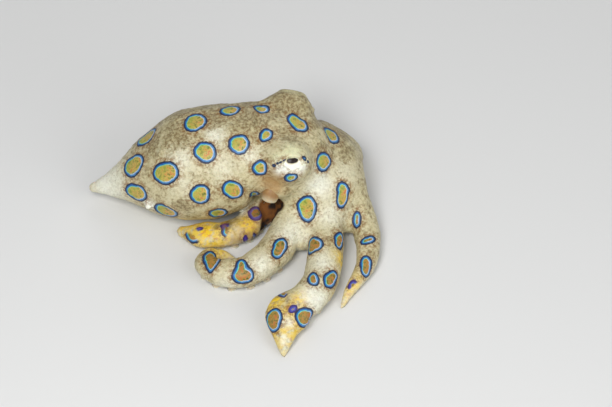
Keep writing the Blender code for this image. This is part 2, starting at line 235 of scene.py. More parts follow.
@dataclass(frozen=True)
class Ellipsoid:
    """A round form of the body with its axes along the world's."""

    centre: Place
    radii: Place
    shell_sides: int = 48
    shell_rows: int = 32

    def distance(self, points: Array) -> Array:
        """Measure how far points lie outside the form.

        Args:
            points: Points in millimetres.

        Returns:
            Signed distances, nearly true close to the surface.
        """
        scaled = (points - np.array(self.centre)) / np.array(self.radii)
        near = length_of(scaled)
        slope = length_of(scaled / np.array(self.radii))
        return near * (near - 1.0) / np.maximum(slope, TINY)

    def shell(self, shrink: float) -> tuple[Array, Faces]:
        """Make a coarse closed surface of the form.

        Args:
            shrink: How far inside the form it lies.

        Returns:
            Points and faces.
        """
        ball = ball_points(self.shell_sides, self.shell_rows)
        points = ball * (np.array(self.radii) - shrink) + np.array(self.centre)
        return points, tube_faces(self.shell_rows, self.shell_sides)


@dataclass(frozen=True)
class Mantle:
    """The sack of the body: distance along it, height of its middle and radius."""

    sections: tuple[Place, ...] = (
        (MANTLE_TIP, 3.9, 1.0), (-39.2, 4.9, 2.15), (-35.8, 6.5, 4.2), (-32.2, 8.4, 6.75), (-28.4, 9.6, 9.2),
        (-24.8, 10.8, 11.0), (-21.6, 11.3, 11.7), (-18.1, 11.7, 12.0), (-14.7, 12.2, 12.0),
        (-11.4, 13.1, 11.4), (-8.15, 14.2, 10.4))
    edge_rounding: float = 1.2
    fine_places: int = 160
    shell_sides: int = 64
    shell_step: int = 2
    shell_thinnest: float = 0.3

    def tables(self) -> tuple[Array, Array, Array]:
        """Work out the middle and radius closely along the body.

        Returns:
            Places along the body, heights of the middle and radii.
        """
        rows = np.array(self.sections)
        along, middle = hermite_table(rows[:, 0], rows[:, 1], self.fine_places)
        radius = hermite_table(rows[:, 0], rows[:, 2], self.fine_places)[1]
        return along, middle, radius

    def distance(self, points: Array) -> Array:
        """Measure how far points lie outside the mantle.

        Args:
            points: Points in millimetres.

        Returns:
            Signed distances.
        """
        along, middle, radius = self.tables()
        place = np.clip(points[:, 0], along[0], along[-1])
        centre = np.interp(place, along, middle)
        wide = np.interp(place, along, radius)
        slope = np.interp(place, along, np.gradient(radius, along))
        side = (np.hypot(points[:, 1], points[:, 2] - centre) - wide) / np.sqrt(1.0 + slope * slope)
        tip = length_of(points - np.array([along[0], 0.0, middle[0]])) - radius[0]
        side = np.where(points[:, 0] < along[0], tip, side)
        front = points[:, 0] - along[-1]
        return np.maximum(-smooth_union(-side, -front, self.edge_rounding), -points[:, 2])

    def shell(self, shrink: float) -> tuple[Array, Faces]:
        """Make a coarse closed surface of the mantle.

        Args:
            shrink: How far inside the form it lies.

        Returns:
            Points and faces.
        """
        turn = turns(self.shell_sides)
        rows = []
        tables = [table[::self.shell_step] for table in self.tables()]
        for x, z, r in zip(*tables):
            r = max(r - shrink, self.shell_thinnest)
            rows.append(np.stack([np.full(self.shell_sides, x), np.cos(turn) * r,
                                  np.maximum(z + np.sin(turn) * r, shrink)], axis=1))
        return np.concatenate(rows), tube_faces(len(rows), self.shell_sides)


@dataclass(frozen=True)
class ArmShape:
    """Sizes that all the arms share, as shares of the half-width where no unit is meant."""

    tip_radius: float = 0.32
    height_share: float = 0.92
    oral_flattening: float = 0.85
    rim_standoff: float = 0.12
    lift_falloff: float = 7.0
    swell_place: float = 0.80
    swell_spread: float = 0.09
    taper_power: float = 0.88
    pitch: float = 0.35
    sucker_share: float = 0.33
    sucker_offset: float = 0.45
    sucker_sink: float = 0.58
    sucker_pitch: float = 0.94
    sucker_smallest: float = 0.24
    sucker_closest: float = 0.55
    first_sucker: float = 2.6
    search_reach: float = 2.5
    line_steps: int = 24
    shell_sides: int = 24
    shell_step: int = 2
    shell_thinnest: float = 0.2


@dataclass
class Arm:
    """One arm: its middle line, its section and its distance field.

    Attributes:
        name: Start of the names of the frame's nodes that it stands for.
        springs_at: Height of the middle line where it leaves the dome.
        fullness: How long the arm stays thick before it tapers.
        half_width: Half-width at the root.
        swell: Share by which the pad near the end is wider.
        plan: Points in plan that the middle line passes.
        shape: Sizes shared by the arms.
    """

    name: str
    springs_at: float
    fullness: float
    half_width: float
    swell: float
    plan: Sequence[Span]
    shape: ArmShape = ArmShape()

    def __post_init__(self) -> None:
        """Work out the arm closely along its length."""
        shape = self.shape
        line = self._line()
        reach = np.concatenate([[0.0], np.cumsum(length_of(np.diff(line, axis=0)))])
        self.length = float(reach[-1])
        self.s = np.linspace(0.0, self.length, int(self.length / shape.pitch))
        self.thick = self._thickness(self.s)
        self.half = self.thick * (1.0 + self.swell * np.exp(
            -((self.s / self.length - shape.swell_place) / shape.swell_spread) ** 2))
        self.rest = self.thick * (shape.height_share * shape.oral_flattening + shape.rim_standoff)
        z = self.rest + (self.springs_at - self.rest[0]) * np.exp(-(self.s / shape.lift_falloff) ** 2)
        self.centre = np.stack([np.interp(self.s, reach, line[:, 0]),
                                np.interp(self.s, reach, line[:, 1]), z], axis=1)
        ahead = np.gradient(self.centre, self.s, axis=0)
        self.ahead = ahead / length_of(ahead)[:, None]
        left = np.cross(UP, self.ahead)
        self.left = left / length_of(left)[:, None]
        self.up = np.cross(self.ahead, self.left)

    def _line(self) -> Array:
        """Pass a smooth curve through the plan's points.

        Returns:
            A fine row of points.
        """
        steps = self.shape.line_steps
        knots = [np.array(point) for point in self.plan]
        knots = [knots[0] * 2 - knots[1]] + knots + [knots[-1] * 2 - knots[-2]]
        line = []
        for a, b, c, d in zip(knots, knots[1:], knots[2:], knots[3:]):
            for t in np.arange(steps) / steps:
                line.append(0.5 * (2 * b + (c - a) * t + (2 * a - 5 * b + 4 * c - d) * t * t
                                   + (3 * b - a - 3 * c + d) * t**3))
        line.append(knots[-2])
        return np.array(line)

    def _thickness(self, s: Array) -> Array:
        """Work out half the arm's thickness.

        Args:
            s: Distances along the arm.

        Returns:
            Half-thicknesses.
        """
        share = np.clip(s / self.length, 0.0, 1.0)
        taper = (1.0 - share**self.fullness) ** self.shape.taper_power
        return self.shape.tip_radius + (self.half_width - self.shape.tip_radius) * taper

    def nearest(self, points: Array) -> Array:
        """Find the closest station of the middle line.

        Args:
            points: Points in millimetres.

        Returns:
            The number of the station for each point, or -1 where the arm is far away.
        """
        reach = self.half_width * self.shape.search_reach
        low = self.centre.min(axis=0) - reach
        high = self.centre.max(axis=0) + reach
        close = np.nonzero(np.all((points > low) & (points < high), axis=1))[0]
        found = np.full(len(points), -1)
        line = self.centre.astype(np.float32)
        for part in np.array_split(close, max(1, len(close) // SEARCH_BATCH)):
            gap = points[part].astype(np.float32)[:, None, :] - line[None, :, :]
            found[part] = np.argmin(np.einsum("ijk,ijk->ij", gap, gap), axis=1)
        return found

    def distance(self, points: Array, station: Array) -> Array:
        """Measure how far points lie outside the arm.

        Args:
            points: Points in millimetres.
            station: Closest stations.

        Returns:
            Signed distances.
        """
        result = np.full(len(points), FAR)
        near = np.nonzero(station >= 0)[0]
        i = station[near]
        gap = points[near] - self.centre[i]
        across = np.einsum("ij,ij->i", gap, self.left[i])
        rise = np.einsum("ij,ij->i", gap, self.up[i])
        along = np.einsum("ij,ij->i", gap, self.ahead[i])
        past = np.where(i == len(self.s) - 1, np.maximum(along, 0.0), 0.0)
        past = np.where(i == 0, np.minimum(along, 0.0), past)
        place = self.s[i] + along
        half = np.interp(place, self.s, self.half)
        thick = np.interp(place, self.s, self.thick)
        tall = thick * self.shape.height_share
        tall = np.where(rise < 0, tall * self.shape.oral_flattening, tall)
        scaled = np.stack([across / half, rise / tall, past / thick], axis=1)
        radii = np.stack([half, tall, thick], axis=1)
        size = length_of(scaled)
        slope = length_of(scaled / radii)
        result[near] = size * (size - 1.0) / np.maximum(slope, TINY)
        return result

    def shell(self, shrink: float) -> tuple[Array, Faces]:
        """Make a coarse closed surface of the arm.

        Args:
            shrink: How far inside the form it lies.

        Returns:
            Points and faces.
        """
        shape = self.shape
        turn = turns(shape.shell_sides)
        rows = []
        for i in range(0, len(self.s), shape.shell_step):
            half = max(self.half[i] - shrink, shape.shell_thinnest)
            tall = max(self.thick[i] * shape.height_share - shrink, shape.shell_thinnest)
            drop = max(tall * shape.oral_flattening, shape.shell_thinnest)
            rise = np.where(np.sin(turn) > 0, np.sin(turn) * tall, np.sin(turn) * drop)
            rows.append(self.centre[i] + np.outer(np.cos(turn) * half, self.left[i])
                        + np.outer(rise, self.up[i]))
        return np.concatenate(rows), tube_faces(len(rows), shape.shell_sides)

    def node_names(self) -> list[str]:
        """Name the nodes of the frame that the arm stands for."""
        return [f"{self.name}_{part}" for part in ("base", "middle", "tip")]


# Height at the root, fullness, half-width and swell of each arm, then its plan
ARM_TABLE = {
    "arm_right_1": (8.2, 1.9, 3.3, 0.0, (
        (9.0, -1.8), (12.8, -4.4), (15.1, -8.4), (16.2, -12.4), (16.4, -16.5), (15.9, -20.4),
        (14.1, -24.0), (12.2, -27.4), (10.9, -30.6))),
    "arm_right_2": (7.2, 7.0, 3.8, 0.5, (
        (6.4, -3.6), (7.1, -8.4), (7.4, -12.4), (7.4, -17.0), (7.1, -22.0), (6.0, -27.0),
        (3.5, -31.0), (0.2, -34.0), (-0.9, -37.4), (-1.2, -40.8), (-1.3, -44.0))),
    "arm_right_3": (6.6, 3.8, 3.8, 0.0, (
        (3.4, -3.6), (1.2, -8.6), (-0.9, -13.4), (-3.6, -18.2), (-6.8, -21.6), (-10.6, -23.5),
        (-14.8, -23.0), (-17.5, -20.4), (-16.9, -17.9), (-14.2, -17.0), (-11.4, -17.5))),
    "arm_right_4": (4.7, 4.2, 3.2, 0.45, (
        (1.4, -1.5), (-3.6, -3.7), (-7.0, -7.4), (-10.2, -10.9), (-14.4, -12.2),
        (-19.0, -11.7), (-22.6, -10.0), (-22.4, -8.2))),
    "arm_left_1": (8.2, 1.8, 3.5, 0.0, (
        (8.0, 2.7), (11.3, 5.2), (12.4, 8.5), (11.2, 12.7), (9.1, 16.2), (6.2, 19.1),
        (3.2, 21.3), (0.2, 22.4))),
    "arm_left_2": (7.2, 1.9, 3.4, 0.0, (
        (5.2, 4.0), (5.1, 8.4), (4.3, 12.0), (2.1, 15.3), (-1.0, 18.0), (-4.2, 20.2),
        (-6.8, 22.2), (-9.2, 23.0))),
    "arm_left_3": (6.4, 2.0, 3.4, 0.0, (
        (2.6, 3.2), (-0.2, 7.8), (-3.3, 12.5), (-7.0, 16.0), (-11.4, 18.4), (-16.0, 19.0),
        (-19.8, 17.9), (-22.0, 15.9))),
    "arm_left_4": (4.7, 2.2, 3.0, 0.0, (
        (1.4, 1.5), (-3.8, 3.5), (-7.5, 6.9), (-10.7, 10.7), (-15.0, 12.5),
        (-19.8, 12.3), (-24.0, 11.2), (-26.8, 9.4))),
}


@dataclass(frozen=True)
class EyeSocket:
    """Where an eye sits and how its lids open, in millimetres where no share is meant."""

    side: float
    mound: Place = (0.1, 7.1, 19.9)
    mound_radii: Place = (4.25, 4.25, 4.20)
    gaze_line: Place = (0.12, 0.73, 0.67)
    set_out: float = 1.05
    radius: float = 3.0
    cover: float = 2.5
    half_width: float = 2.15
    half_height: float = 1.40
    upper_roundness: float = 2.6
    lower_roundness: float = 1.9
    edge_slope: float = 0.85
    drop: float = 0.25
    sunk: float = 0.35
    lid_gap: float = 0.12
    upper_rim: float = 0.42
    lower_rim: float = 0.28
    rim_start: float = 0.35
    lid_reach: float = 0.9
    edge_wall: Span = (-0.10, 0.16)
    lid_fade: Span = (2.2, 3.4)
    tint_reach: float = 3.6
    tint_share: float = 1.0

    @property
    def gaze(self) -> Array:
        """Way the eye looks."""
        line = self._mirrored(self.gaze_line)
        return line / np.linalg.norm(line)

    @property
    def centre(self) -> Array:
        """Middle of the eyeball."""
        return self._mirrored(self.mound) + self.gaze * self.set_out

    @property
    def front(self) -> Array:
        """Point of the eyeball that faces out."""
        return self.centre + self.gaze * self.radius

    @property
    def along(self) -> Array:
        """Direction along the lids, toward the arms."""
        line = np.array([1.0, 0.0, 0.0])
        line = line - self.gaze * line.dot(self.gaze)
        return line / np.linalg.norm(line)

    @property
    def above(self) -> Array:
        """Direction across the lids, upward."""
        line = np.cross(self.gaze, self.along)
        return line if line[2] > 0 else -line

    def _mirrored(self, place: Place) -> Array:
        """Move a place of the left eye to this eye's side."""
        return np.array(place) * np.array([1.0, self.side, 1.0])

    def mound_form(self) -> Ellipsoid:
        """Describe the bulge round the eye."""
        return Ellipsoid(tuple(self._mirrored(self.mound)), self.mound_radii)

    def before(self, points: Array) -> Array:
        """Find the points on the front of the eyeball or close over it."""
        gap = points - self.centre
        return (gap @ self.gaze > 0) & (length_of(gap) < self.radius + self.cover)

    def spread(self, points: Array) -> tuple[Array, Array, Array]:
        """Measure points along the lids, above their middle and out from the eyeball's middle."""
        gap = points - self.centre
        return gap @ self.along, gap @ self.above + self.drop, gap @ self.gaze

    def opening(self, points: Array) -> Array:
        """Measure how far points lie outside the almond of the lids.

        Args:
            points: Points in millimetres.

        Returns:
            Signed distances across the lids.
        """
        a, b, _ = self.spread(points)
        reach = np.abs(a) / self.half_width
        upper = self.half_height * np.clip(1.0 - reach**self.upper_roundness, 0.0, None)
        lower = self.half_height * np.clip(1.0 - reach**self.lower_roundness, 0.0, None)
        inside = np.abs(b) - np.where(b > 0, upper, lower)
        outside = np.hypot(np.maximum(np.abs(a) - self.half_width, 0.0), b)
        return np.where(reach < 1.0, inside * self.edge_slope, outside)


@dataclass(frozen=True)
class Fillets:
    """How widely the forms of the body melt together, in millimetres."""

    neck: float = 2.5
    dome: float = 3.5
    small: float = 2.0
    eye: float = 2.4
    mantle_below: float = 0.8
    mantle_gain: float = 2.0
    mantle_heights: Span = (12.0, 19.0)
    arm: float = 3.2
    arm_fade: Span = (10.5, 17.0)


@dataclass
class Body:
    """The whole soft body as one distance field."""

    mantle: Mantle = Mantle()
    head: Ellipsoid = Ellipsoid((-1.2, 0.0, 15.2), (9.6, 10.0, 8.4))
    neck: Ellipsoid = Ellipsoid((-7.4, 0.0, 15.4), (8.6, 10.1, 8.6))
    dome: Ellipsoid = Ellipsoid((5.0, 0.0, 8.0), (10.5, 10.5, 7.6))
    web: Ellipsoid = Ellipsoid((4.0, -1.4, 4.6), (10.0, 10.2, 3.4))
    shoulder: Ellipsoid = Ellipsoid((4.6, 3.6, 9.8), (8.4, 8.0, 7.3))
    brows: tuple[Ellipsoid, ...] = (
        Ellipsoid((-2.2, 6.8, 19.0), (5.2, 3.9, 4.6)), Ellipsoid((-2.2, -6.8, 19.0), (5.2, 3.9, 4.6)))
    webs: tuple[Ellipsoid, ...] = (
        Ellipsoid((1.9, -11.5, 3.4), (5.0, 5.2, 3.2)), Ellipsoid((11.5, -7.4, 3.4), (3.0, 4.2, 3.0)))
    seats: tuple[Ellipsoid, ...] = (
        Ellipsoid((-2.0, -8.4, 14.5), (2.7, 2.6, 2.4)), Ellipsoid((-3.2, -9.4, 14.3), (2.0, 1.8, 1.8)))
    sockets: tuple[EyeSocket, ...] = (EyeSocket(1.0, tint_reach=1.8, tint_share=0.35), EyeSocket(-1.0))
    fillets: Fillets = Fillets()
    arms: list[Arm] = field(default_factory=lambda: [Arm(name, *sizes) for name, sizes in ARM_TABLE.items()])
    stations: list[Array] = field(default_factory=list)

    def trunk(self, points: Array) -> Array:
        """Measure the distance to mantle, head and dome together.

        Args:
            points: Points in millimetres.

        Returns:
            Signed distances.
        """
        fillets = self.fillets
        joined = smooth_union(self.head.distance(points), self.neck.distance(points), fillets.neck)
        joined = smooth_union(joined, self.dome.distance(points), fillets.dome)
        for form in (self.web, self.shoulder, *self.brows, *self.webs, *self.seats):
            joined = smooth_union(joined, form.distance(points), fillets.small)
        for socket in self.sockets:
            joined = smooth_union(joined, socket.mound_form().distance(points), fillets.eye)
        rise = smooth_step(points[:, 2], *fillets.mantle_heights)
        fusion = fillets.mantle_below + fillets.mantle_gain * rise
        return smooth_union(joined, self.mantle.distance(points), fusion)

    def settle(self, points: Array) -> None:
        """Find each point's closest stations on the arms."""
        self.stations = [arm.nearest(points) for arm in self.arms]

    def distances(self, points: Array) -> Array:
        """Measure the distance to the trunk and to each arm.

        Args:
            points: The points that were settled, which may have moved a little.

        Returns:
            One row for each form, the trunk first.
        """
        rows = [self.trunk(points)]
        rows.extend(arm.distance(points, station) for arm, station in zip(self.arms, self.stations))
        return np.array(rows)

    def distance(self, points: Array) -> Array:
        """Measure the distance to the body, with fillets where the arms spring.

        Args:
            points: The points that were settled.

        Returns:
            Signed distances.
        """
        rows = np.sort(self.distances(points), axis=0)
        spread = np.hypot(points[:, 0] - self.dome.centre[0], points[:, 1])
        fillet = self.fillets.arm * (1.0 - smooth_step(spread, *self.fillets.arm_fade))
        return smooth_union(rows[0], rows[1], fillet)


@dataclass
class View:
    """The camera's place, and where a point of the picture lies on the body.

    Scale is pixels to a millimetre, zero the pixel of the point on the ground under the eyes,
    depth_point the height that the camera aims at and clip the distances shown, in metres.
    """

    scale: float = 4.75
    zero: Span = (290.0, 199.6)
    picture: tuple[int, int] = (612, 407)
    body_middle: Span = (250.0, 175.0)
    elevation: float = math.radians(48.0)
    lens: float = 400.0
    sensor: float = 36.0
    depth_point: float = 8.0
    clip: Span = (0.1, 10.0)

    def __post_init__(self) -> None:
        """Work out the directions of the picture."""
        self.right = np.array([1.0, 0.0, 0.0])
        self.upward = np.array([0.0, math.sin(self.elevation), math.cos(self.elevation)])
        self.ahead = np.array([0.0, math.cos(self.elevation), -math.sin(self.elevation)])
        x, v = self.plane_place(self.picture[0] / 2, self.picture[1] / 2)
        y = (v - self.upward[2] * self.depth_point) / self.upward[1]
        self.target = np.array([x, y, self.depth_point])
        self.distance = self.picture[0] / self.scale * self.lens / self.sensor
        self.place = self.target - self.ahead * self.distance

    def plane_place(self, px: float, py: float) -> tuple[float, float]:
        """Turn a picture point into millimetres right and up."""
        return (px - self.zero[0]) / self.scale, (self.zero[1] - py) / self.scale

    def ray(self, px: float, py: float) -> tuple[Array, Array]:
        """Give the line of sight through a picture point.

        Args:
            px: Pixels from the left.
            py: Pixels from the top.

        Returns:
            Start and direction.
        """
        x, v = self.plane_place(px, py)
        x0, v0 = self.plane_place(self.picture[0] / 2, self.picture[1] / 2)
        spot = self.target + self.right * (x - x0) + self.upward * (v - v0)
        line = spot - self.place
        return self.place, line / np.linalg.norm(line)

    def make_camera(self) -> None:
        """Set up the scene's camera."""
        lens = bpy.data.cameras.new("camera")
        lens.lens = self.lens
        lens.sensor_width = self.sensor
        lens.clip_start, lens.clip_end = self.clip
        camera = bpy.data.objects.new("camera", lens)
        bpy.context.scene.collection.objects.link(camera)
        camera.location = (Vector(self.place) + SHIFT) * MM
        camera.rotation_euler = Vector(self.ahead).to_track_quat("-Z", "Y").to_euler()
        bpy.context.scene.camera = camera


@dataclass(frozen=True)
class Ring:
    """One blue ring: its place in pixels of the picture and its seen size in millimetres.

    The tilt is in degrees, point is the direction and share of a drawn-out corner, lobe the place and
    size of a second lobe, arc the degrees that a broken ring spans and violet a share of its colour.
    """

    px: float
    py: float
    width: float
    height: float
    tilt: float = 0.0
    point: Span | None = None
    lobe: tuple[float, float, float, float] | None = None
    arc: Span | None = None
    violet: float = 0.0


RINGS = (
    Ring(195, 122, 4.9, 3.5, 15), Ring(230, 110, 4.5, 2.1, 5), Ring(261, 109.5, 3.6, 1.8, -3),
    Ring(266, 135, 3.2, 2.7, 35), Ring(299, 124, 4.4, 2.7, -30, (135, 0.25)),
    Ring(331, 135, 4.3, 2.0, -45), Ring(324, 161, 3.1, 3.9, 0, (270, 0.10)), Ring(260, 168, 3.2, 3.4),
    Ring(239, 144, 4.5, 4.3, -20), Ring(205, 152, 4.9, 4.5, -20), Ring(165, 173, 5.5, 4.9, 0),
    Ring(132, 166.5, 4.5, 4.5, 0, (45, 0.22)), Ring(147, 137, 5.5, 1.7, 40),
    Ring(136, 193, 4.9, 3.5, -35), Ring(200, 195, 4.4, 4.1), Ring(233, 190, 4.6, 3.9, -15),
    Ring(254, 194, 2.4, 1.7, 35), Ring(165, 210.5, 4.9, 2.3, -22, (330, 0.12)),
    Ring(218, 213, 4.1, 1.9, 5), Ring(291, 178, 3.0, 1.7, 10), Ring(307, 207, 4.3, 4.9, 0, (270, 0.16)),
    Ring(343, 191, 2.7, 4.0, 0, (268, 0.55)), Ring(357, 220, 1.9, 3.6, 0),
    Ring(339.5, 240.6, 2.1, 3.7, 0), Ring(314, 244, 3.6, 3.6, 30, (235, 0.20)),
    Ring(280, 247, 3.2, 4.1, -25, (245, 0.15)), Ring(313, 279, 2.6, 2.9), Ring(331, 279, 2.9, 4.0, -20),
    Ring(212, 258.5, 4.1, 5.0, 0, (262, 0.10)), Ring(243, 275.5, 4.7, 4.0, lobe=(-0.3, 2.35, 2.5, 2.9)),
    # The ring at 256, 213 is a real ring lying in shade; its violet share darkens it as painted shade.
    Ring(193, 235, 3.4, 3.4, arc=(150, 320)), Ring(256, 213, 3.3, 2.9, violet=0.8),
    Ring(226, 227, 2.4, 1.7, -20, violet=0.9), Ring(199, 229, 1.7, 0.8, 10, violet=0.9),
    Ring(262, 236, 2.6, 3.9, -15, arc=(-60, 80)), Ring(229, 231, 3.2, 3.0, arc=(120, 250)),
    Ring(246, 240, 1.0, 2.2, 10, violet=1.0), Ring(252, 238, 1.8, 2.4, -20, arc=(-70, 70), violet=0.5),
    Ring(284, 293, 2.6, 2.6, 0, (270, 0.2), arc=(180, 360), violet=0.3),
    Ring(293, 309, 2.1, 1.5, 35, violet=0.8),
    Ring(273, 319, 3.4, 4.8, -15, (280, 0.15)), Ring(305, 318, 3.8, 4.2, 35, (45, 0.12)),
    Ring(353, 286, 2.2, 2.6, arc=(30, 230), violet=0.8), Ring(366, 264, 2.7, 3.7, 0, (270, 0.25)),
    Ring(368, 240, 3.4, 1.7, 15),
    Ring(274, 165.6, 0.75, 0.6, -30), Ring(277.4, 163.4, 0.4, 0.3), Ring(280.6, 162.2, 0.6, 0.34, 25),
    Ring(284.4, 160.4, 0.55, 0.32, 20), Ring(304.3, 158.4, 1.1, 0.8, -35),
    Ring(308.2, 161.8, 0.7, 0.4, -50),
)


@dataclass(frozen=True)
class Patch:
    """A patch of colour as it is seen: picture place, radius in millimetres and strength."""

    tone: Field
    px: float
    py: float
    radius: float
    strength: float


# Picture place, radius in millimetres and strength of each patch
PATCH_TABLE = {
    Field.BROWN: (
        (215, 118, 4.0, 0.5), (178, 135, 4.0, 0.45), (250, 118, 4.5, 0.45), (285, 100, 4.2, 0.55),
        (150, 145, 3.5, 0.4), (345, 150, 3.2, 0.3), (185, 205, 2.4, 0.3), (235, 212, 2.4, 0.5),
        (284, 132, 2.6, 0.35), (322, 150, 1.5, 0.5), (336, 232, 2.0, 0.3), (279, 182, 2.6, 0.5),
    ),
    Field.PALE: (
        (180, 160, 3.2, 0.5), (215, 136, 2.2, 0.7), (110, 184, 4.5, 1.0), (182, 183, 3.2, 0.35),
        (222, 168, 3.2, 0.35), (250, 155, 2.0, 0.5), (345, 172, 3.0, 0.3), (318, 185, 3.4, 0.7),
        (292, 235, 4.0, 0.7), (330, 215, 3.0, 0.6), (322, 262, 2.8, 0.7), (315, 298, 3.0, 1.0),
        (232, 250, 3.0, 0.5), (262, 265, 2.8, 0.7), (292, 168, 2.0, 1.0), (226, 286, 2.6, 0.6),
        (288, 322, 1.5, 0.9), (284, 341, 1.6, 0.7), (149, 206, 1.5, 1.0),
    ),
    Field.GOLD: (
        (183, 228, 2.0, 1.0), (206, 232, 2.2, 1.0), (193, 245, 2.4, 0.6), (222, 240, 2.2, 0.6),
        (248, 224, 2.4, 0.7), (274, 302, 2.2, 0.9), (301, 300, 2.0, 0.9), (290, 310, 2.2, 0.6),
        (352, 270, 2.4, 0.7), (345, 300, 2.4, 0.7), (268, 345, 2.0, 0.8), (302, 263, 2.0, 0.3),
    ),
    # Painted shade over the rings and skin that lie in shade round the pocket under the funnel.
    Field.PAINTED_SHADE: (
        (256, 213, 1.8, 0.40), (226, 225, 1.5, 0.55), (216, 227, 0.8, 0.5),
    ),
    Field.BLUSH: (
        (250, 232, 2.8, 0.9), (238, 240, 2.2, 0.6), (272, 184, 2.6, 1.0), (279, 178, 2.0, 0.6),
    ),
    # White skin of the lower lids and of a papilla, with painted highlights such as those on the cheek and
    # the tip of the mantle.
    Field.WHITE: (
        (280, 169, 1.4, 0.8), (286, 168.5, 1.5, 0.9), (293, 168, 1.5, 1.0), (300, 166, 1.4, 0.9),
        (148, 206, 1.3, 0.9), (322, 186, 2.6, 0.25), (104, 186, 3.0, 0.4), (243, 211, 1.5, 0.6),
        (313, 300, 2.4, 0.3),
    ),
}
PATCHES = [Patch(tone, *numbers) for tone, rows in PATCH_TABLE.items() for numbers in rows]
# Picture place and radius in millimetres of the hollows that make the pocket and its painted shade
POCKET = (
    (267, 206, 2.0), (277, 203, 1.9), (273, 212, 2.1), (269, 220, 1.8), (266, 228, 1.5), (262, 234, 1.1),
)
# Share of each arm's length at which its golden end begins
GOLD_STARTS = {
    "arm_right_1": 0.72, "arm_right_2": 0.74, "arm_right_3": 0.80, "arm_right_4": 0.52,
    "arm_left_1": 0.75, "arm_left_2": 0.75, "arm_left_3": 0.75, "arm_left_4": 0.75,
}


class SkinSurface:
    """The mesh of the skin as arrays of points, normals and neighbours."""

    def __init__(self, mesh: bpy.types.Mesh) -> None:
        """Read a mesh in millimetres.

        Args:
            mesh: Closed mesh.
        """
        self.points = self._read(mesh.vertices, "co", 3).reshape(-1, 3)
        corners = self._read(mesh.loops, "vertex_index").astype(np.int64)
        starts = self._read(mesh.polygons, "loop_start").astype(np.int64)
        totals = self._read(mesh.polygons, "loop_total").astype(np.int64)
        edges = self._read(mesh.edges, "vertices", 2).astype(np.int64)
        self.faces = [tuple(corners[a:a + n]) for a, n in zip(starts.tolist(), totals.tolist())]
        self.edges = edges.reshape(-1, 2)
        self.degree = np.bincount(edges, minlength=len(self.points)).astype(np.float64)
        first = corners[starts]
        self.fans = []
        for step in range(1, int(totals.max()) - 1):
            some = totals > step + 1
            self.fans.append((first[some], corners[starts[some] + step], corners[starts[some] + step + 1]))

    @staticmethod
    def _read(items: bpy.types.bpy_prop_collection, name: str, width: int = 1) -> Array:
        """Read one value of every item of a mesh, width numbers for each."""
        values = np.empty(len(items) * width)
        items.foreach_get(name, values)
        return values

    def mean(self, values: Array) -> Array:
        """Average a value over each point's neighbours.

        Args:
            values: One number or one row for each point.

        Returns:
            The averages.
        """
        a, b = self.edges.T
        if values.ndim == 1:
            total = np.bincount(a, values[b], len(values)) + np.bincount(b, values[a], len(values))
            return total / self.degree
        return np.stack([self.mean(column) for column in values.T], axis=1)

    def normals(self) -> Array:
        """Work out the outward direction at each point.

        Returns:
            Unit vectors.
        """
        total = np.zeros_like(self.points)
        for a, b, c in self.fans:
            area = np.cross(self.points[b] - self.points[a], self.points[c] - self.points[a])
            for corner in (a, b, c):
                for axis in range(3):
                    total[:, axis] += np.bincount(corner, area[:, axis], len(total))
        return total / np.maximum(length_of(total), TINY)[:, None]

    def relax(self, share: float) -> None:
        """Even out the points along the surface.

        Args:
            share: Share of the way to the neighbours' middle.
        """
        normals = self.normals()
        pull = self.mean(self.points) - self.points
        pull -= normals * np.einsum("ij,ij->i", pull, normals)[:, None]
        self.points += pull * share


@dataclass(frozen=True)
class Papilla:
    """A small point of skin: picture place, height and radius in millimetres."""

    px: float
    py: float
    height: float
    radius: float


PAPILLAE = (
    Papilla(149, 205, 1.1, 0.9), Papilla(230, 127, 0.35, 0.6), Papilla(262, 92, 0.3, 0.7),
    Papilla(318, 104, 0.45, 0.7), Papilla(308, 132, 0.4, 0.6), Papilla(277, 141, 0.35, 0.6),
    Papilla(176, 120, 0.4, 0.8), Papilla(160, 152, 0.3, 0.7), Papilla(214, 172, 0.3, 0.7),
    Papilla(335, 176, 0.35, 0.6), Papilla(290, 222, 0.3, 0.6), Papilla(366, 205, 0.35, 0.6),
)


@dataclass(frozen=True)
class Relief:
    """Sizes of the skin's mesh and relief, in millimetres where no share is meant."""

    voxel: float = 0.345
    shrink: float = 0.16
    eye_core: float = 3.6
    eye_detail: float = 4.2
    inner_detail: float = 0.8
    first_rounds: int = 3
    first_relaxing: float = 0.5
    fit_rounds: int = 5
    fit_relaxing: float = 0.4
    fit_step: float = 0.6
    fold_height: float = 0.22
    fold_size: float = 3.2
    fold_start: Span = (0.3, 2.0)
    grain_height: float = 0.08
    grain_size: float = 0.8
    full_thickness: float = 3.0
    least_share: float = 0.1
    calm_eye: Span = (3.0, 5.0)
    papilla_slope: float = 1.6
    pocket_depth: float = 1.5
    pocket_fillet: float = 1.2
    pocket_wall: Span = (-1.0, 0.2)
    pocket_shade: Span = (-0.30, 0.10)
    pocket_away: float = 0.6
    pocket_inward: float = 0.4
    outward_rounds: int = 4


@dataclass(frozen=True)
class RingLaying:
    """How a ring lies on the skin, as shares of its radius where no unit is meant."""

    longest: float = 1.3
    search_share: float = 1.5
    search_mm: float = 2.6
    least_facing: float = 0.05
    lobe_fillet_mm: float = 1.5
    waves: tuple[Span, ...] = ((2, 0.02), (3, 0.022), (5, 0.012))
    wave_seeds: tuple[int, int] = (31, 5)
    corner_slope: int = 6
    corner_height: float = 1.6
    arc_fade_degrees: float = 18.0
    light_degrees: float = 20.0
    arm_umber: float = 0.75


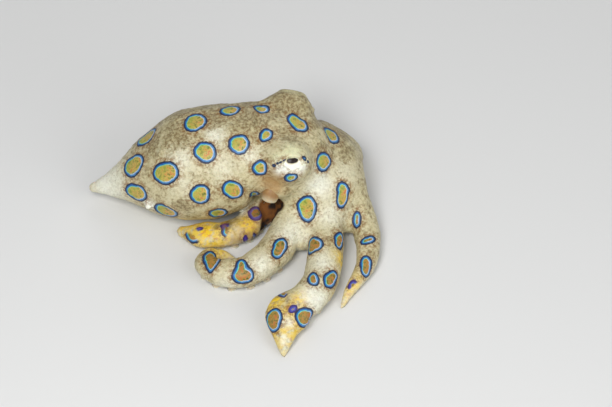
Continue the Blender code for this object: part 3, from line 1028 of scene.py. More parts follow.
@dataclass(frozen=True)
class HiddenRings:
    """Sizes and clearances of the rings out of sight, in millimetres where no share is meant."""

    seed: int = 7
    first_number: int = 1000
    lowest: float = 1.4
    least_upward: float = -0.35
    thinnest_arm: float = 0.9
    arm_share: float = 1.15
    arm_widest: float = 3.4
    arm_clear: float = 1.5
    mantle_front: float = -9.0
    mantle_size: float = 4.6
    head_size: float = 3.7
    trunk_clear: float = 1.7
    eye_clear: float = 4.3
    sight_clear: float = 0.3
    sight_lift: float = 0.25
    widths: Span = (0.92, 1.08)
    heights: Span = (0.82, 1.0)
    corners: Span = (0.0, 0.2)


@dataclass(frozen=True)
class Tints:
    """Where colours begin and end on the body, in millimetres where no share is meant."""

    patch_gain: float = 1.25
    # Edge of the patches of painted shade.
    shade_patch_edge: Span = (0.70, 1.10)
    far_side: Span = (-2.0, 9.0)
    far_height: Span = (4.0, 15.0)
    far_brown: float = 0.45
    belly: Span = (0.8, 3.0)
    belly_pale: float = 0.7
    gold_rise: float = 0.12
    gold_cover: float = 0.75
    lid_bulge: Span = (0.6, 2.4)
    lid_start: float = 0.9
    lid_foot: float = -0.3
    lower_lid: Span = (0.4, 1.4)


@dataclass(frozen=True)
class Spot:
    """A place on the skin, the outward direction there and the closest vertex."""

    place: Array
    outward: Array
    index: int


@dataclass(frozen=True)
class Outline:
    """How the outline of a ring lies on the skin.

    Attributes:
        axes: Two directions along the skin.
        seen: How those directions look in the picture.
        ellipse: Matrix of its ellipse.
        reach: Longest radius in millimetres.
    """

    axes: tuple[Array, Array]
    seen: Array
    ellipse: Array
    reach: float


@dataclass
class Skin:
    """The skin of the whole body: one closed mesh with its colour fields."""

    body: Body
    view: View
    relief: Relief = Relief()
    laying: RingLaying = RingLaying()
    hidden: HiddenRings = HiddenRings()
    tints: Tints = Tints()
    search_tries: int = 12
    search_pull: float = 0.02
    surface: SkinSurface | None = None
    limb: Array | None = None
    tree: BVHTree | None = None
    finder: KDTree | None = None
    outward: Array | None = None
    pocket: Array | None = None
    fields: dict[Field, Array] = field(default_factory=dict)

    def build(self) -> Thing:
        """Make the skin and its colour fields.

        Returns:
            The object.
        """
        self._rough_form()
        self._fit()
        self._sculpt()
        self._prepare_search()
        self._paint()
        thing = new_piece("skin", self.surface.points, self.surface.faces)
        for name, values in self.fields.items():
            store(thing.data, name.value, values)
        names = ["mantle", "head", "crown"]
        for arm in self.body.arms:
            names.extend(arm.node_names())
        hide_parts(*names)
        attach(thing, "root")
        return thing

    def _rough_form(self) -> None:
        """Join closed forms into one even mesh, finer round the eyes."""
        body, relief = self.body, self.relief
        forms = [body.mantle, body.head, body.neck, body.dome, body.web, body.shoulder]
        forms.extend([*body.brows, *body.webs, *body.seats, *body.arms])
        forms.extend(socket.mound_form() for socket in body.sockets)
        forms.extend(Ellipsoid(tuple(socket.centre), (relief.eye_core,) * 3) for socket in body.sockets)
        points, faces, start = [], [], 0
        for form in forms:
            some, these = form.shell(relief.shrink)
            points.append(some)
            faces.extend(tuple(start + i for i in face) for face in these)
            start += len(some)
        mesh = bpy.data.meshes.new("rough")
        mesh.from_pydata(np.concatenate(points).tolist(), [], faces)
        rough = bpy.data.objects.new("rough", mesh)
        bpy.context.scene.collection.objects.link(rough)
        remesh = rough.modifiers.new("even", "REMESH")
        remesh.mode = "VOXEL"
        remesh.voxel_size = relief.voxel
        bpy.context.view_layer.update()
        graph = bpy.context.evaluated_depsgraph_get()
        even = bpy.data.meshes.new_from_object(rough.evaluated_get(graph))
        bpy.data.objects.remove(rough, do_unlink=True)
        self._refine_eyes(even)
        self.surface = SkinSurface(even)
        bpy.data.meshes.remove(even)
        bpy.data.meshes.remove(mesh)

    def _refine_eyes(self, mesh: bpy.types.Mesh) -> None:
        """Divide the faces round the eyes.

        Args:
            mesh: Mesh to be refined.
        """
        fronts = [Vector(socket.front) for socket in self.body.sockets]
        work = bmesh.new()
        work.from_mesh(mesh)
        detail = self.relief.eye_detail
        for reach in (detail, detail * self.relief.inner_detail):
            near = []
            for edge in work.edges:
                middle = (edge.verts[0].co + edge.verts[1].co) / 2
                if any((middle - front).length < reach for front in fronts):
                    near.append(edge)
            bmesh.ops.subdivide_edges(work, edges=near, cuts=1, use_grid_fill=True)
        bmesh.ops.triangulate(work, faces=[face for face in work.faces if len(face.verts) > 4])
        work.to_mesh(mesh)
        work.free()

    def _fit(self) -> None:
        """Bring the rough mesh onto the smooth body."""
        surface, relief = self.surface, self.relief
        for _ in range(relief.first_rounds):
            surface.relax(relief.first_relaxing)
        self.body.settle(surface.points)
        for turn in range(relief.fit_rounds):
            gap = np.clip(self.body.distance(surface.points), -relief.fit_step, relief.fit_step)
            surface.points -= surface.normals() * gap[:, None]
            if turn < relief.fit_rounds - 1:
                surface.relax(relief.fit_relaxing)
            if turn == relief.fit_rounds // 2:
                self.body.settle(surface.points)
        surface.points[:, 2] = np.maximum(surface.points[:, 2], 0.0)
        rows = self.body.distances(surface.points)
        self.limb = np.argmin(rows, axis=0)

    def _sculpt(self) -> None:
        """Add folds, grain, papillae, the pocket and the lids."""
        self._fold()
        self._prepare_search()
        self._raise_papillae()
        self._sink_pocket()
        for socket in self.body.sockets:
            self._open_lids(socket)
        points = self.surface.points
        points[:, 2] = np.maximum(points[:, 2], 0.0)

    def _fold(self) -> None:
        """Raise soft folds and grain, less on thin arms and none round the eyes."""
        relief = self.relief
        points = self.surface.points
        folds = np.empty(len(points))
        grain = np.empty(len(points))
        for i, point in enumerate(points.tolist()):
            folds[i] = noise.noise(Vector(point) / relief.fold_size)
            grain[i] = noise.noise(Vector(point) / relief.grain_size)
        slim = np.full(len(points), 1.0)
        for number, (arm, station) in enumerate(zip(self.body.arms, self.body.stations), start=1):
            mine = self.limb == number
            slim[mine] = np.clip(arm.thick[station[mine]] / relief.full_thickness, relief.least_share, 1.0)
        above = smooth_step(points[:, 2], *relief.fold_start)
        lift = (folds * relief.fold_height * above + grain * relief.grain_height) * slim
        eyes = np.zeros(len(points))
        for socket in self.body.sockets:
            eyes = np.maximum(eyes, 1.0 - smooth_step(length_of(points - socket.front), *relief.calm_eye))
        lift *= 1.0 - eyes
        points += self.surface.normals() * lift[:, None]

    def _raise_papillae(self) -> None:
        """Raise the seen points of skin."""
        points = self.surface.points
        for papilla in PAPILLAE:
            spot = self._hit(papilla.px, papilla.py)
            if spot is None:
                continue
            near = length_of(points - spot.place) / papilla.radius
            bump = papilla.height * np.exp(-near**2 * self.relief.papilla_slope)
            points += self.outward * bump[:, None]

    def _sink_pocket(self) -> None:
        """Sink the pocket under the funnel and keep how deep each vertex lies in it, for its painted shade.
        """
        relief = self.relief
        points = self.surface.points
        pocket = np.full(len(points), FAR)
        for px, py, radius in POCKET:
            spot = self._hit(px, py)
            pocket = smooth_union(pocket, length_of(points - spot.place) - radius, relief.pocket_fillet)
        self.pocket = 1.0 - smooth_step(pocket, *relief.pocket_shade)
        depth = relief.pocket_depth * (1.0 - smooth_step(pocket, *relief.pocket_wall))
        push = self.view.ahead * relief.pocket_away - self.outward * relief.pocket_inward
        points += depth[:, None] * push

    def _open_lids(self, socket: EyeSocket) -> None:
        """Sink the skin inside the lids and raise their edges.

        Args:
            socket: The eye.
        """
        points = self.surface.points
        gap = points - socket.centre
        out = length_of(gap)
        edge = socket.opening(points)
        rim = np.where(socket.spread(points)[1] > 0, socket.upper_rim, socket.lower_rim)
        rim = rim * np.exp(-np.clip(edge - socket.rim_start, 0.0, None) / socket.lid_reach)
        lid = np.maximum(out, socket.radius + socket.lid_gap) + rim
        wall = smooth_step(edge, *socket.edge_wall)
        target = (socket.radius - socket.sunk) * (1.0 - wall) + lid * wall
        fade = np.where(socket.before(points), 1.0 - smooth_step(edge, *socket.lid_fade), 0.0)
        scale = 1.0 + (target / np.maximum(out, TINY) - 1.0) * fade
        points[:] = socket.centre + gap * scale[:, None]

    def _prepare_search(self) -> None:
        """Make ready to find points of the skin in space."""
        triangles = []
        for face in self.surface.faces:
            triangles.append(face[:3])
            if len(face) == 4:
                triangles.append((face[0], face[2], face[3]))
        self.tree = BVHTree.FromPolygons(self.surface.points.tolist(), triangles)
        self.finder = KDTree(len(self.surface.points))
        for i, point in enumerate(self.surface.points.tolist()):
            self.finder.insert(point, i)
        self.finder.balance()
        normals = self.surface.normals()
        for _ in range(self.relief.outward_rounds):
            normals = self.surface.mean(normals)
        self.outward = normals / np.maximum(length_of(normals), TINY)[:, None]

    def _hit(self, px: float, py: float) -> Spot | None:
        """Find the skin under a picture point, or a little nearer the body's middle.

        Args:
            px: Pixels from the left.
            py: Pixels from the top.

        Returns:
            The spot, or None where the skin is far from it.
        """
        middle = self.view.body_middle
        for step in range(self.search_tries):
            pull = step * self.search_pull
            start, line = self.view.ray(px + (middle[0] - px) * pull, py + (middle[1] - py) * pull)
            place = self.tree.ray_cast(Vector(start), Vector(line))[0]
            if place is not None:
                index = self.finder.find(place)[1]
                return Spot(np.array(place), self.outward[index], index)
        return None

    def _paint(self) -> None:
        """Work out every colour field."""
        count = len(self.surface.points)
        self.fields = {name: np.zeros(count) for name in Field}
        self.fields[Field.RING] += BARE
        self.fields[Field.STRENGTH] += 1.0
        placed: list[Array] = []
        for number, ring in enumerate(RINGS):
            spot = self._hit(ring.px, ring.py)
            if spot is None:
                LOG.warning("ring at %s, %s misses the skin", ring.px, ring.py)
                continue
            placed.append(spot.place)
            self._spread_ring(ring, spot, self._seen_outline(ring, spot), number)
        self._hidden_rings(placed)
        self._patches()
        # Painted shade in the pocket under the funnel.
        self._cover(Field.PAINTED_SHADE, self.pocket)
        self._anatomy()
        for socket in self.body.sockets:
            self._tint_lids(socket)

    def _cover(self, name: Field, values: Array) -> None:
        """Bring a colour field up to new values where these are higher."""
        self.fields[name] = np.maximum(self.fields[name], values)

    def _seen_outline(self, ring: Ring, spot: Spot) -> Outline:
        """Lay the outline that the picture shows flat on the skin.

        Args:
            ring: The ring.
            spot: Its middle.

        Returns:
            The outline.
        """
        first = self.view.right - spot.outward * spot.outward.dot(self.view.right)
        first /= np.linalg.norm(first)
        second = np.cross(spot.outward, first)
        seen = np.array([[first @ self.view.right, second @ self.view.right],
                         [first @ self.view.upward, second @ self.view.upward]])
        tilt = math.radians(ring.tilt)
        turn = np.array([[math.cos(tilt), -math.sin(tilt)], [math.sin(tilt), math.cos(tilt)]])
        inverse = turn @ np.diag([4.0 / ring.width**2, 4.0 / ring.height**2]) @ turn.T
        values, axes = np.linalg.eigh(seen.T @ inverse @ seen)
        longest = max(ring.width, ring.height) / 2 * self.laying.longest
        values = np.maximum(values, 1.0 / longest**2)
        return Outline((first, second), seen, axes @ np.diag(values) @ axes.T, 1.0 / math.sqrt(values.min()))

    def _spread_ring(self, ring: Ring, spot: Spot, outline: Outline, number: int) -> None:
        """Store a ring's distances at the vertices round it.

        Args:
            ring: The ring.
            spot: Its middle.
            outline: Its outline.
            number: Number that sets its unevenness.
        """
        laying = self.laying
        near = self._ring_vertices(spot, outline.reach)
        gap = self.surface.points[near] - spot.place
        flat = np.stack([gap @ outline.axes[0], gap @ outline.axes[1]], axis=1)
        chord = length_of(gap)
        flat *= (chord / np.maximum(length_of(flat), TINY))[:, None]
        flat[chord < TINY] = 0.0
        look = flat @ outline.seen.T
        angle = np.arctan2(look[:, 1], look[:, 0])
        distance = self._outline(flat, outline.ellipse)
        if ring.lobe is not None:
            right, up, wide, tall = ring.lobe
            offset = np.linalg.solve(outline.seen, np.array([right, up]))
            lobe = outline.seen.T @ np.diag([4.0 / wide**2, 4.0 / tall**2]) @ outline.seen
            distance = smooth_union(distance, self._outline(flat - offset, lobe), laying.lobe_fillet_mm)
        step, first = laying.wave_seeds
        rng = random.Random(number * step + first)
        distance = distance + sum(amount * outline.reach * np.sin(n * angle + rng.uniform(0.0, 2 * math.pi))
                                  for n, amount in laying.waves)
        if ring.point is not None:
            toward = np.clip(np.cos(angle - math.radians(ring.point[0])), 0.0, None)
            corner = ring.point[1] * outline.reach * toward**laying.corner_slope
            distance = distance - corner * laying.corner_height
        strength = np.ones(len(near))
        if ring.arc is not None:
            low, high = ring.arc
            swing = (np.degrees(angle) - low) % 360.0
            inside = np.minimum(swing, high - low - swing)
            strength = smooth_step(inside, 0.0, laying.arc_fade_degrees)
        better = distance < self.fields[Field.RING][near]
        mine = near[better]
        self.fields[Field.RING][mine] = distance[better]
        # Side of the ring toward the light, for its painted lit and shaded colours.
        self.fields[Field.TURN][mine] = np.cos(angle[better] + math.radians(laying.light_degrees))
        self.fields[Field.STRENGTH][mine] = strength[better]
        self.fields[Field.VIOLET][mine] = ring.violet
        on_arm = self.limb[spot.index] > 0
        self.fields[Field.UMBER][mine] = max(ring.violet, laying.arm_umber if on_arm else 0.0)

    def _ring_vertices(self, spot: Spot, reach: float) -> Array:
        """Find the vertices that a ring can reach without crossing to another limb.

        Args:
            spot: Its middle.
            reach: Its longest radius.

        Returns:
            Numbers of the vertices.
        """
        radius = reach * self.laying.search_share + self.laying.search_mm
        near = np.array([i for _, i, _ in self.finder.find_range(Vector(spot.place), radius)])
        limb = self.limb[spot.index]
        facing = self.outward[near] @ spot.outward > self.laying.least_facing
        same = (self.limb[near] == limb) | (self.limb[near] == 0) | (limb == 0)
        return near[facing & same]

    @staticmethod
    def _outline(flat: Array, shape: Array) -> Array:
        """Measure distances to an ellipse.

        Args:
            flat: Places along the skin.
            shape: Matrix of the ellipse.

        Returns:
            Signed distances in millimetres.
        """
        pushed = flat @ shape
        size = np.sqrt(np.maximum(np.einsum("ij,ij->i", flat, pushed), TINY))
        return size * (size - 1.0) / np.maximum(length_of(pushed), TINY)

    def _seen(self) -> Array:
        """Find the vertices that the picture shows.

        Returns:
            True for each vertex in sight.
        """
        toward = -self.view.ahead
        facing = self.outward @ toward > 0.0
        for index in np.nonzero(facing)[0]:
            start = Vector(self.surface.points[index] + self.outward[index] * self.hidden.sight_lift)
            if self.tree.ray_cast(start, Vector(toward))[0] is not None:
                facing[index] = False
        return facing

    def _hidden_rings(self, placed: list[Array]) -> None:
        """Scatter rings where the picture doesn't reach.

        Args:
            placed: Places of the rings that are already there.
        """
        hidden = self.hidden
        rng = random.Random(hidden.seed)
        points = self.surface.points
        order = list(range(len(points)))
        rng.shuffle(order)
        fronts = [socket.front for socket in self.body.sockets]
        seen = self._seen()
        for index in order:
            if seen[index]:
                continue
            spot = Spot(points[index], self.outward[index], index)
            size, clear = self._hidden_size(spot)
            if not size:
                continue
            if any(np.linalg.norm(spot.place - front) < hidden.eye_clear for front in fronts):
                continue
            if any(np.linalg.norm(spot.place - other) < clear for other in placed):
                continue
            around = self.finder.find_range(Vector(spot.place), size / 2 + hidden.sight_clear)
            if any(seen[i] for _, i, _ in around):
                continue
            placed.append(spot.place)
            wide = size * rng.uniform(*hidden.widths)
            tall = size * rng.uniform(*hidden.heights)
            first = np.cross(spot.outward, UP)
            first /= max(np.linalg.norm(first), TINY)
            axes = (first, np.cross(spot.outward, first))
            outline = Outline(axes, np.eye(2), np.diag([4.0 / wide**2, 4.0 / tall**2]), wide / 2)
            ring = Ring(0.0, 0.0, wide, tall, point=(rng.uniform(0, 360), rng.uniform(*hidden.corners)))
            self._spread_ring(ring, spot, outline, hidden.first_number + index)

    def _hidden_size(self, spot: Spot) -> Span:
        """Choose the size of a ring out of sight.

        Args:
            spot: Its middle.

        Returns:
            Its size, nothing where no ring belongs, and the least distance to the next one.
        """
        hidden = self.hidden
        if spot.place[2] < hidden.lowest or spot.outward[2] < hidden.least_upward:
            return 0.0, 0.0
        limb = int(self.limb[spot.index])
        if not limb:
            size = hidden.mantle_size if spot.place[0] < hidden.mantle_front else hidden.head_size
            return size, size + hidden.trunk_clear
        thick = self.body.arms[limb - 1].thick[self.body.stations[limb - 1][spot.index]]
        if thick < hidden.thinnest_arm:
            return 0.0, 0.0
        size = min(thick * hidden.arm_share, hidden.arm_widest)
        return size, size + hidden.arm_clear

    def _patches(self) -> None:
        """Lay the seen patches of colour."""
        for patch in PATCHES:
            spot = self._hit(patch.px, patch.py)
            if spot is None:
                continue
            reach = length_of(self.surface.points - spot.place) / patch.radius
            cover = np.minimum(patch.strength * np.exp(-reach**2) * self.tints.patch_gain, 1.0)
            # Patches of painted shade keep a firm edge.
            if patch.tone is Field.PAINTED_SHADE:
                cover = patch.strength * (1.0 - smooth_step(reach, *self.tints.shade_patch_edge))
            self._cover(patch.tone, cover)

    def _anatomy(self) -> None:
        """Colour the far side, the belly and the ends of the arms."""
        tints = self.tints
        _, y, z = self.surface.points.T
        far_side = smooth_step(y, *tints.far_side) * smooth_step(z, *tints.far_height)
        self._cover(Field.BROWN, np.where(self.limb == 0, far_side * tints.far_brown, 0.0))
        self._cover(Field.PALE, tints.belly_pale * (1.0 - smooth_step(z, *tints.belly)))
        for number, (arm, station) in enumerate(zip(self.body.arms, self.body.stations), start=1):
            start = GOLD_STARTS[arm.name]
            rise = smooth_step(arm.s[station] / arm.length, start, start + tints.gold_rise)
            self._cover(Field.GOLD, np.where(self.limb == number, rise * tints.gold_cover, 0.0))

    def _tint_lids(self, socket: EyeSocket) -> None:
        """Tint the upper lid green and the lower one pale.

        Args:
            socket: The eye.
        """
        tints = self.tints
        points = self.surface.points
        edge = socket.opening(points)
        front = socket.before(points)
        height = socket.spread(points)[1]
        bulge = (points - np.array(socket.mound_form().centre)) @ socket.gaze
        tint = 1.0 - smooth_step(edge, tints.lid_start, socket.tint_reach)
        tint = tint * smooth_step(bulge, *tints.lid_bulge) * socket.tint_share
        self._cover(Field.LID, np.where(front & (height > tints.lid_foot), tint, 0.0))
        lower = 1.0 - smooth_step(edge, *tints.lower_lid)
        self._cover(Field.PALE, np.where(front & (height <= 0.0), lower, 0.0))


class Graph:
    """Short ways to lay and join shader nodes."""

    def __init__(self, tree: bpy.types.NodeTree) -> None:
        """Work on a node tree."""
        self.tree = tree

    def add(self, kind: str, **settings: object) -> bpy.types.Node:
        """Lay one node.

        Args:
            kind: Type of the node.
            **settings: Properties to be set.

        Returns:
            The node.
        """
        node = self.tree.nodes.new(kind)
        for name, value in settings.items():
            setattr(node, name, value)
        return node

    def feed(self, socket: Socket, value: object) -> None:
        """Give a socket a link or a number.

        Args:
            socket: The input.
            value: Output socket, number or colour.
        """
        if isinstance(value, Socket):
            self.tree.links.new(value, socket)
        elif isinstance(value, tuple) and socket.type == "RGBA":
            socket.default_value = (*value, 1.0)
        else:
            socket.default_value = value

    def fill(self, node: bpy.types.Node, **values: object) -> bpy.types.Node:
        """Feed several inputs of a node, named with underscores for blanks.

        Args:
            node: The node.
            **values: Links, numbers or colours.

        Returns:
            The node.
        """
        for name, value in values.items():
            self.feed(node.inputs[name.replace("_", " ")], value)
        return node

    def math(self, operation: str, a: object, b: object, clamp: bool) -> Socket:
        """Work on two numbers.

        Args:
            operation: Name of the operation.
            a: First number.
            b: Second number.
            clamp: Whether the result is kept from 0 to 1.

        Returns:
            The result.
        """
        node = self.add("ShaderNodeMath", operation=operation, use_clamp=clamp)
        self.feed(node.inputs[0], a)
        self.feed(node.inputs[1], b)
        return node.outputs[0]

    def times(self, a: object, b: object, clamp: bool = False) -> Socket:
        """Multiply two numbers."""
        return self.math("MULTIPLY", a, b, clamp)

    def plus(self, a: object, b: object, clamp: bool = False) -> Socket:
        """Add two numbers."""
        return self.math("ADD", a, b, clamp)

    def minus(self, a: object, b: object, clamp: bool = False) -> Socket:
        """Take the second number from the first."""
        return self.math("SUBTRACT", a, b, clamp)

    def span(self, value: object, low: float, high: float, start: float = 0.0,
             end: float = 1.0) -> Socket:
        """Map a number smoothly from one range to another.

        Args:
            value: The number.
            low: Start of its range.
            high: End of its range.
            start: Result at low.
            end: Result at high.

        Returns:
            The result.
        """
        node = self.add("ShaderNodeMapRange", interpolation_type="SMOOTHSTEP")
        for socket, number in zip(node.inputs, (value, low, high, start, end)):
            self.feed(socket, number)
        return node.outputs[0]

    def mix(self, share: object, a: object, b: object, blend: str = "MIX") -> Socket:
        """Mix two colours.

        Args:
            share: Share of the second colour.
            a: First colour.
            b: Second colour.
            blend: Way of mixing.

        Returns:
            The mixed colour.
        """
        node = self.add("ShaderNodeMix", data_type="RGBA", blend_type=blend)
        self.feed(node.inputs[0], share)
        self.feed(node.inputs[6], a)
        self.feed(node.inputs[7], b)
        return node.outputs[2]

    def noise(self, place: object, size: float, detail: float = 2.0, rough: float = 0.5) -> Socket:
        """Lay soft noise.

        Args:
            place: Coordinates in metres.
            size: Size of its lumps in millimetres.
            detail: Number of finer layers.
            rough: Strength of the finer layers.

        Returns:
            Numbers about one half.
        """
        node = self.add("ShaderNodeTexNoise")
        self.fill(node, Vector=place, Scale=1.0 / (size * MM), Detail=detail, Roughness=rough)
        return node.outputs["Fac"]

    def value(self, name: Field) -> Socket:
        """Read a value stored at the vertices."""
        return self.add("ShaderNodeAttribute", attribute_name=name.value).outputs["Fac"]

    def ramp(self, value: object, stops: Iterable[tuple[float, Colour]]) -> Socket:
        """Turn a number into a colour.

        Args:
            value: Number from 0 to 1.
            stops: Places and colours.

        Returns:
            The colour.
        """
        node = self.add("ShaderNodeValToRGB")
        elements = node.color_ramp.elements
        for number, (place, colour) in enumerate(stops):
            element = elements[number] if number < len(elements) else elements.new(place)
            element.position = place
            element.color = (*colour, 1.0)
        self.feed(node.inputs[0], value)
        return node.outputs[0]


@dataclass(frozen=True)
class RingPaint:
    """Colours of a blue ring and the distances from its edge, in millimetres, where they change.

    A pair of colours is for the side away from the light and the side toward it.
    """

    core: tuple[tuple[float, Colour], ...] = (
        (0.38, (0.13, 0.15, 0.02)), (0.46, (0.38, 0.36, 0.06)), (0.53, (0.62, 0.46, 0.10)),
        (0.62, (0.56, 0.19, 0.05)))
    umber: tuple[tuple[float, Colour], ...] = (
        (0.38, (0.07, 0.07, 0.01)), (0.49, (0.29, 0.16, 0.02)), (0.60, (0.43, 0.11, 0.02)))
    olive: Colour = (0.33, 0.44, 0.05)
    olive_cover: float = 0.40
    warm: Colour = (0.60, 0.30, 0.10)
    warm_cover: float = 0.25
    inner: tuple[Colour, Colour] = ((0.55, 0.62, 0.74), (0.13, 0.62, 0.42))
    blue: tuple[Colour, Colour] = ((0.07, 0.25, 0.52), (0.004, 0.13, 0.46))
    navy: Colour = (0.010, 0.020, 0.060)
    violet_inner: Colour = (0.10, 0.07, 0.34)
    violet_blue: Colour = (0.06, 0.03, 0.36)
    violet_navy: Colour = (0.05, 0.02, 0.16)
    sides: Span = (-0.5, 0.6)
    waver: float = 0.35
    warm_end: Span = (-2.2, -1.1)
    inner_start: Span = (-0.82, -0.66)
    blue_start: Span = (-0.66, -0.52)
    navy_start: Span = (-0.38, -0.20)
    edge: Span = (0.02, 0.16)
    halo: Span = (0.1, 1.7)


class Effects:
    """Node groups shared by the materials, each made once."""

    def __init__(self) -> None:
        """Make the groups."""
        self.speckle = self._speckle()
        self.ring = self._ring(RingPaint())
        self.grain = self._grain()

    @staticmethod
    def _new(name: str, inputs: dict[str, float],
             outputs: dict[str, str]) -> tuple[Graph, bpy.types.Node, bpy.types.Node]:
        """Start a node group that is laid out by coordinates on the object.

        Args:
            name: Name of the group.
            inputs: Default of each number that it takes.
            outputs: Socket type of each output.

        Returns:
            The graph and its input and output nodes.
        """
        tree = bpy.data.node_groups.new(name, "ShaderNodeTree")
        tree.interface.new_socket("Place", in_out="INPUT", socket_type=VECTOR)
        for label, default in inputs.items():
            tree.interface.new_socket(label, in_out="INPUT", socket_type=FLOAT).default_value = default
        for label, kind in outputs.items():
            tree.interface.new_socket(label, in_out="OUTPUT", socket_type=kind)
        graph = Graph(tree)
        return graph, graph.add("NodeGroupInput"), graph.add("NodeGroupOutput")

    def _speckle(self) -> bpy.types.NodeTree:
        """Make the group of soft blotches and fine specks.

        Returns:
            The group.
        """
        graph, start, end = self._new(
            "chromatophores", {"Cover": 0.3}, {"Blotch": FLOAT, "Speck": FLOAT, "Dots": FLOAT})
        place = start.outputs["Place"]
        blotch = graph.noise(place, 2.6, 3.0, 0.6)
        fine = graph.noise(place, 0.62, 3.0, 0.75)
        middle = graph.noise(place, 1.1, 2.0, 0.6)
        cells = graph.add("ShaderNodeTexVoronoi", feature="F1")
        graph.fill(cells, Vector=place, Scale=1.0 / (0.55 * MM))
        body = graph.plus(graph.times(blotch, 0.75), graph.times(middle, 0.70))
        covered = graph.plus(body, graph.times(start.outputs["Cover"], 0.50))
        graph.fill(end, Blotch=graph.span(covered, 0.66, 0.94), Speck=graph.span(fine, 0.42, 0.60),
                   Dots=graph.span(cells.outputs["Distance"], 0.18, 0.42, 1.0, 0.0))
        return graph.tree

    def _ring(self, paint: RingPaint) -> bpy.types.NodeTree:
        """Make the group that paints the blue rings.

        Args:
            paint: Their colours.

        Returns:
            The group.
        """
        graph, start, end = self._new(
            "blue_ring", {"Distance": BARE, "Turn": 0.0, "Strength": 1.0, "Violet": 0.0, "Umber": 0.0},
            {"Colour": "NodeSocketColor", "Cover": FLOAT, "Halo": FLOAT})
        place, strength, violet = (start.outputs[name] for name in ("Place", "Strength", "Violet"))
        waver = graph.times(graph.minus(graph.noise(place, 0.7, 1.0), 0.5), paint.waver)
        edge = graph.plus(start.outputs["Distance"], waver)
        side = graph.span(start.outputs["Turn"], *paint.sides, 1.0, 0.0)
        mottle = graph.noise(place, 0.75, 3.0, 0.75)
        core = graph.mix(graph.times(side, paint.olive_cover), graph.ramp(mottle, paint.core), paint.olive)
        core = graph.mix(start.outputs["Umber"], core, graph.ramp(mottle, paint.umber))
        core = graph.mix(graph.span(edge, *paint.warm_end, paint.warm_cover, 0.0), core, paint.warm)
        inner = graph.mix(violet, graph.mix(side, *paint.inner), paint.violet_inner)
        blue = graph.mix(violet, graph.mix(side, *paint.blue), paint.violet_blue)
        navy = graph.mix(violet, paint.navy, paint.violet_navy)
        colour = graph.mix(graph.span(edge, *paint.inner_start), core, inner)
        colour = graph.mix(graph.span(edge, *paint.blue_start), colour, blue)
        colour = graph.mix(graph.span(edge, *paint.navy_start), colour, navy)
        cover = graph.times(graph.span(edge, *paint.edge, 1.0, 0.0), strength)
        halo = graph.times(graph.span(edge, *paint.halo, 1.0, 0.0), strength)
        graph.fill(end, Colour=colour, Cover=cover, Halo=halo)
        return graph.tree

    def _grain(self) -> bpy.types.NodeTree:
        """Make the group of fine wet bumps.

        Returns:
            The group.
        """
        graph, start, end = self._new("wet_grain", {"Strength": 0.3}, {"Normal": VECTOR})
        place = start.outputs["Place"]
        height = graph.plus(graph.times(graph.noise(place, 0.35, 2.0, 0.6), 0.6), graph.noise(place, 1.0))
        bump = graph.add("ShaderNodeBump")
        graph.fill(bump, Distance=0.20 * MM, Strength=start.outputs["Strength"], Height=height)
        graph.fill(end, Normal=bump.outputs["Normal"])
        return graph.tree

    @staticmethod
    def use(graph: Graph, group: bpy.types.NodeTree, **inputs: object) -> bpy.types.Node:
        """Lay a group in a material with links or numbers for its inputs."""
        return graph.fill(graph.add("ShaderNodeGroup", node_tree=group), **inputs)


def new_material(name: str) -> tuple[bpy.types.Material, Graph, bpy.types.Node, Socket]:
    """Start a material.

    Args:
        name: Its name.

    Returns:
        The material, its graph, its shader and the coordinates on the object.
    """
    material = bpy.data.materials.new(name)
    material.use_nodes = True
    graph = Graph(material.node_tree)
    shader = material.node_tree.nodes["Principled BSDF"]
    place = graph.add("ShaderNodeTexCoord").outputs["Object"]
    return material, graph, shader, place


@dataclass(frozen=True)
class Wetness:
    """How light sinks into flesh, and the film of water on it.

    Attributes:
        glow: Share of the light that sinks in.
        radius: How far its red, green and blue spread.
        depth: Scale of the spread in millimetres.
        film: Weight of the film.
        film_roughness: Roughness of the film.
    """

    glow: float
    radius: Colour
    depth: float
    film: float
    film_roughness: float

    def apply(self, graph: Graph, shader: bpy.types.Node) -> None:
        """Set the plain inputs of a shader."""
        graph.fill(shader, Subsurface_Weight=self.glow, Subsurface_Radius=self.radius,
                   Subsurface_Scale=self.depth * MM, Coat_Weight=self.film,
                   Coat_Roughness=self.film_roughness)


